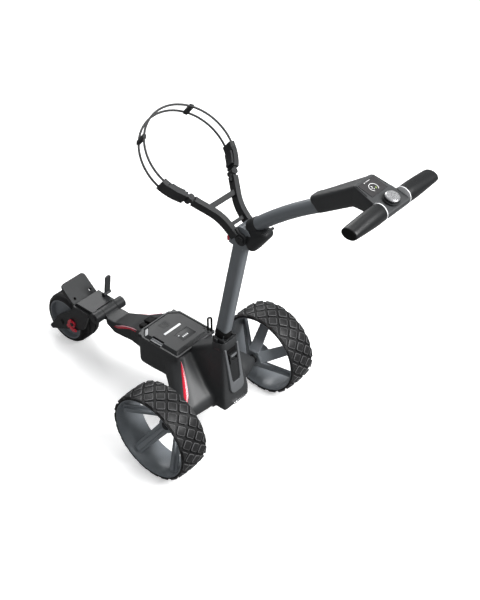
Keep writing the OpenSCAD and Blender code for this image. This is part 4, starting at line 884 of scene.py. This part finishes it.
class TROLLEY_OT_battery(Operator):
    """Finish the battery and add its pull loop, its plain markings, its label panel and its ridges"""

    bl_idname = "trolley.battery"
    bl_label = "Battery"

    def execute(self, context):
        paint("lid_plastic", "battery_case", "battery_lid")
        paint("cover_plastic", "battery_catch")
        base, reach, rise = Vector((0.01, -0.072, 0.266)), Vector((0.0036, 0.0042, 0)), Vector((0, 0, 0.051))
        bend = [base + reach, base + reach + rise]
        bend += [base + rise + reach * math.cos(a) + Vector((0, 0, 0.0047 * math.sin(a)))
                 for a in (math.pi * i / 8 for i in range(1, 8))]
        bend += [base - reach + rise, base - reach]
        cord = loft([Matrix.Translation(p) @ (b - a).to_track_quat("Z", "Y").to_matrix().to_4x4() @ oval(3.3, 3.3)
                     for a, p, b in zip(bend[:1] + bend, bend, bend[1:] + bend[-1:])], 16)
        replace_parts(piece("pull_loop", cord, "battery", "black_and_gap_shade", sharp=60), "battery_loop")
        low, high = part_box("battery_lid")
        top = high.z
        across = Vector((1, -1, 0)).normalized()
        up = Vector((-8.5, -8.5, 9.5)).normalized()
        lean = Matrix((across, up, across.cross(up))).transposed().to_4x4()
        blocks("battery_marks", "battery", "pale_print_and_ring_reflection", "cover_plastic",
               ((0.008, 0.07, 0.0012), at(0.0966, 0.002, top - 0.0005), 0.0003),
               ((0.003, 0.0034, 0.0006), at(0.06, 0.0125, top - 0.0004), 0.0002),
               *[((0.0058, 0.0036, 0.0006), at(0.048, 0.006 - 0.0062 * i, top - 0.0004), 0.0002) for i in range(4)],
               ((0.029, 0.0112, 0.001), at(high.x - 0.01725, high.y - 0.01725, top - 0.00525) @ lean, 0.0003))
        blocks("battery_label", "battery", "dark_plastic", "lens",
               ((0.0386, 0.0536, 0.0012), at(0.0521, -0.0075, top - 0.0011), 0.0004),
               *[((0.0024, 0.03, 0.001), at(0.118 + 0.0055 * i, 0.005, top + 0.0001), 0.0004) for i in range(5)])
        slopes = [at(low.x + 0.0028 + 0.0026 * i, 0.008, low.z + 0.0082 + 0.003 * i) for i in range(3)]
        blocks("battery_ridges", "battery", "dark_plastic", "shell_plastic",
               *[((0.0016, 0.122, 0.002), slope @ turned(-48, "Y"), 0.0005) for slope in slopes])
        return {"FINISHED"}


class TROLLEY_OT_shaft(Operator):
    """Finish the shaft and build the arched stem, its band, the hinge housing, the tab's pad and the shaft's band"""

    bl_idname = "trolley.shaft"
    bl_label = "Shaft and Hinge"

    def execute(self, context):
        paint("slate_paint", "lower_shaft", "shaft_foot", "shaft_head")
        paint("dark_plastic", "bag_pin", "stem_pin")
        paint("accent_gloss", "release_tab")
        soften(0.002, "shaft_head")
        arch = ((44, 19.0, 19.0), (60, 20.4, 19.2), (90, 22.8, 19.2), (125, 24.8, 19.2), (160, 25.8, 19.2),
                (195, 26.0, 19.2), (230, 25.0, 19.2), (265, 23.0, 19.4), (300, 20.4, 19.6), (322, 18.6, 19.6))
        band = ((26, 17.6, 18.4), (28, 17.8, 20.4), (32, 18.0, 21.2), (56, 19.8, 21.2), (60, 20.2, 20.4),
                (61, 20.3, 19.6))
        for name, node, style, slot, rings in (
                ("stem_arch", "stem_tube", "slate_paint", "frame_metal", arch),
                ("stem_band", "stem_root", "dark_plastic", "shell_plastic", band)):
            bm = loft([stem_place @ at(x / 1000, 0, z / 1000) @ oval(r, r) for z, x, r in rings], 56)
            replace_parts(piece(name, bm, "handle", style, sharp=50), node)
        bm = bmesh.new()
        hull(bm, (), [((x, y, z), r) for y in (8, -8)
                      for x, z, r in ((-224, 741, 18), (-261, 786, 15), (-232, 786, 14), (-216, 762, 18))])
        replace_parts(piece("hinge_housing", bm, "shaft", "dark_plastic", sharp=60), "hinge_bracket")
        blocks("tab_pad", "release_tab", "accent_gloss", "button_red",
               ((0.008, 0.011, 0.0145), at(-0.143, 0.009, 0.7285), 0.0015))
        bm = loft([shaft_place @ at(0, 0, z / 1000) @ oval(a, b)
                   for z, a, b in ((6, 23.0, 21.0), (8, 24.0, 22.0), (30, 24.0, 22.0), (32, 23.0, 21.0))])
        piece("shaft_band", bm, "shaft", "black_and_gap_shade")
        return {"FINISHED"}


class TROLLEY_OT_bag_support(Operator):
    """Finish the bag fork and the cradles"""

    bl_idname = "trolley.bag_support"
    bl_label = "Bag Support"

    def execute(self, context):
        paint("dark_plastic", "bag_fork", "cradle_left", "cradle_right", "cradle_pins")
        soften(0.0025, "cradle_left", "cradle_right")
        return {"FINISHED"}


class TROLLEY_OT_front(Operator):
    """Finish the front fork, its yoke, the bag rest, the fold lever and the tracking cam, and add the cam's hook"""

    bl_idname = "trolley.front"
    bl_label = "Front"

    def execute(self, context):
        paint("dark_plastic", "front_fork", "front_yoke", "bag_rest", "front_axle")
        paint("shell_plastic", "fold_lever")
        paint("accent_gloss", "tracking_cam")
        bm = bmesh.new()
        spun(bm, ((0.0115, 0), (0.0235, 0), (0.0235, 0.0035), (0.022, 0.005), (0.013, 0.005), (0.0115, 0.0035)),
             at(0.5, 0.059, 0.11) @ turned(-90, "X") @ turned(-80, "Z"), 28, 215)
        piece("cam_hook", bm, "tracking_cam", "accent_gloss")
        soften(0.003, "front_fork", "front_yoke", "bag_rest", "fold_lever")
        return {"FINISHED"}


class TROLLEY_OT_console(Operator):
    """Mould the console and set the gauge, its marks, the slots in black as painted shade, the dial's rings and a
    chrome strip on the seam as a painted highlight
    """

    bl_idname = "trolley.console"
    bl_label = "Console"

    def execute(self, context):
        ring = sizes().gauge_radius
        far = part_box("console_upper")[1]
        to_face = face_place.inverted()

        def off_rings(p):
            return abs(p.y) < far.y - 0.003

        def below_face(p):
            return off_rings(p) and (to_face @ p).z < -0.007 and p.x < far.x - 0.012

        moulded_skin("console_skin", ("console_upper", "console_lower"), "handle", "shell_plastic", 0.0016,
                     ((5, off_rings), (60, below_face)))
        paint("dark_plastic", "dial_spindle")
        paint("display_plastic", "display_lens")
        paint("dial_metal", "speed_dial")
        glass = face_place @ at(0.053, 0.001, 0.0008)
        bm = bmesh.new()
        hoop(bm, ring - 0.0011, ring, 0, 0.0005, glass @ turned(-143, "Z"), 48, 286)
        for i, reach in enumerate((0.0042, 0.0042, 0.003)):
            block(bm, (reach, 0.0014, 0.0005), glass @ turned(40 + 50 * i, "Z") @ at(0.0052, 0, 0.0003))
        bmesh.ops.create_cone(bm, cap_ends=True, segments=32, radius1=0.0013, radius2=0.0013, depth=0.0006,
                              matrix=glass @ at(0.0215, 0.0085, 0.0003))
        block(bm, (0.0008, 0.017, 0.0005), glass @ at(0.0218, -0.0045, 0.0002))
        piece("gauge_marks", bm, "handle", "gauge_white")
        blocks("gauge_level", "handle", "gauge_green", "lens",
               *[((0.003, 0.0011, 0.0005), glass @ turned(205 + 22 * i, "Z") @ at(0.0058, 0, 0.0003))
                 for i in range(3)])
        # The face's slots are black strips: painted shade in the slots.
        bm = bmesh.new()
        for side in (1, -1):
            start, stop = Vector((0.0805, side * 0.0335, 0)), Vector((0.0435, side * 0.0385, 0))
            turn = Matrix.Rotation(math.atan2(stop.y - start.y, stop.x - start.x), 4, "Z")
            block(bm, ((stop - start).length, 0.002, 0.0012),
                  face_place @ Matrix.Translation((start + stop) / 2) @ turn, 0.0004)
        piece("face_slots", bm, "handle", "black_and_gap_shade")
        low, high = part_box("speed_dial")
        radius = (high.y - low.y) / 2
        knob = face_place @ at(0.002, 0, 0)
        bm = bmesh.new()
        spun(bm, ((radius - 0.001, 0.0056), (radius + 0.0004, 0.0056), (radius + 0.0007, 0.0075),
                  (radius + 0.0002, 0.0112), (radius - 0.001, 0.0112)), knob, 72)
        piece("dial_skirt", bm, "dial", "dark_chrome")
        bm = bmesh.new()
        for inner, outer, steps in ((0.0018, 0.0034, 32), (0.0106, 0.0114, 48)):
            hoop(bm, inner, outer, 0.01345, 0.0137, knob, steps)
        piece("dial_turnings", bm, "dial", "bright_steel")
        # A chrome strip along the seam stands for the highlight on the parting line: a painted highlight.
        bm = bmesh.new()
        hoop(bm, 0.0218, 0.0232, -0.04, 0.04, bar_place @ turned(90, "X") @ turned(206, "Z"), 2, 5)
        piece("console_seam_glint", bm, "handle", "chrome")
        return {"FINISHED"}


class TROLLEY_OT_grips(Operator):
    """Loft the hand grips and their end caps and finish the cores, and the rings pale as a painted reflection"""

    bl_idname = "trolley.grips"
    bl_label = "Grips"

    def execute(self, context):
        grip = ((47.6, 21.6, 21.6, 0), (52, 22.2, 22.1, 0), (64, 22.8, 22.5, 0), (82, 23.0, 22.2, 1),
                (104, 22.9, 20.8, 2), (128, 22.7, 18.6, 3), (148, 22.5, 16.7, 4), (158, 22.3, 15.8, 5),
                (161.5, 21.8, 15.2, 5), (163, 20.6, 14.0, 5))
        cap = ((161, 19.6, 13.2, 5), (163.3, 19.6, 13.2, 5), (163.9, 18.6, 12.2, 5))

        def rings(profile, side):
            return [bar_place @ at(0, side * y / 1000, 0) @ turned(tilt, "Y") @ turned(90, "X") @ oval(a, b)
                    for y, a, b, tilt in profile]

        for side, name in ((1, "left"), (-1, "right")):
            bm = loft(rings(grip, side), 64)
            made = piece("hand_grip_" + name, bm, "handle", "grip_rubber", sharp=50)
            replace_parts(made, "grip_" + name)
            piece("grip_cap_" + name, loft(rings(cap, side)), "handle", "black_and_gap_shade")
        # The rings are painted pale, not chrome, to show the white line a chrome ring reflects: a painted reflection.
        paint("pale_print_and_ring_reflection", "grip_rings")
        paint("bright_steel", "grip_cores")
        return {"FINISHED"}


class TROLLEY_PT_panel(Panel):
    """Lists the pieces of the trolley"""

    bl_idname = "TROLLEY_PT_panel"
    bl_label = "Golf Trolley"
    bl_space_type = "VIEW_3D"
    bl_region_type = "UI"
    bl_category = "Trolley"

    def draw(self, context):
        column = self.layout.column()
        for maker in makers:
            column.operator(maker.bl_idname)
        for group in (context.scene.trolley_sizes, context.scene.trolley_colours):
            for name in group.__annotations__:
                column.prop(group, name)


makers = (
    TROLLEY_OT_stage, TROLLEY_OT_strap, TROLLEY_OT_wheels, TROLLEY_OT_drive, TROLLEY_OT_chassis, TROLLEY_OT_cover,
    TROLLEY_OT_battery, TROLLEY_OT_shaft, TROLLEY_OT_bag_support, TROLLEY_OT_front, TROLLEY_OT_console,
    TROLLEY_OT_grips,
)
classes = (TrolleySizes, TrolleyColours, *makers, TROLLEY_PT_panel)


def register():
    for cls in classes:
        bpy.utils.register_class(cls)
    bpy.types.Scene.trolley_sizes = PointerProperty(type=TrolleySizes)
    bpy.types.Scene.trolley_colours = PointerProperty(type=TrolleyColours)


def unregister():
    del bpy.types.Scene.trolley_colours
    del bpy.types.Scene.trolley_sizes
    for cls in reversed(classes):
        bpy.utils.unregister_class(cls)


def main():
    register()
    bpy.ops.trolley.stage()
    bpy.ops.trolley.strap()
    bpy.ops.trolley.wheels()
    bpy.ops.trolley.drive()
    bpy.ops.trolley.chassis()
    bpy.ops.trolley.cover()
    bpy.ops.trolley.battery()
    bpy.ops.trolley.shaft()
    bpy.ops.trolley.bag_support()
    bpy.ops.trolley.front()
    bpy.ops.trolley.console()
    bpy.ops.trolley.grips()


if __name__ == "__main__":
    main()
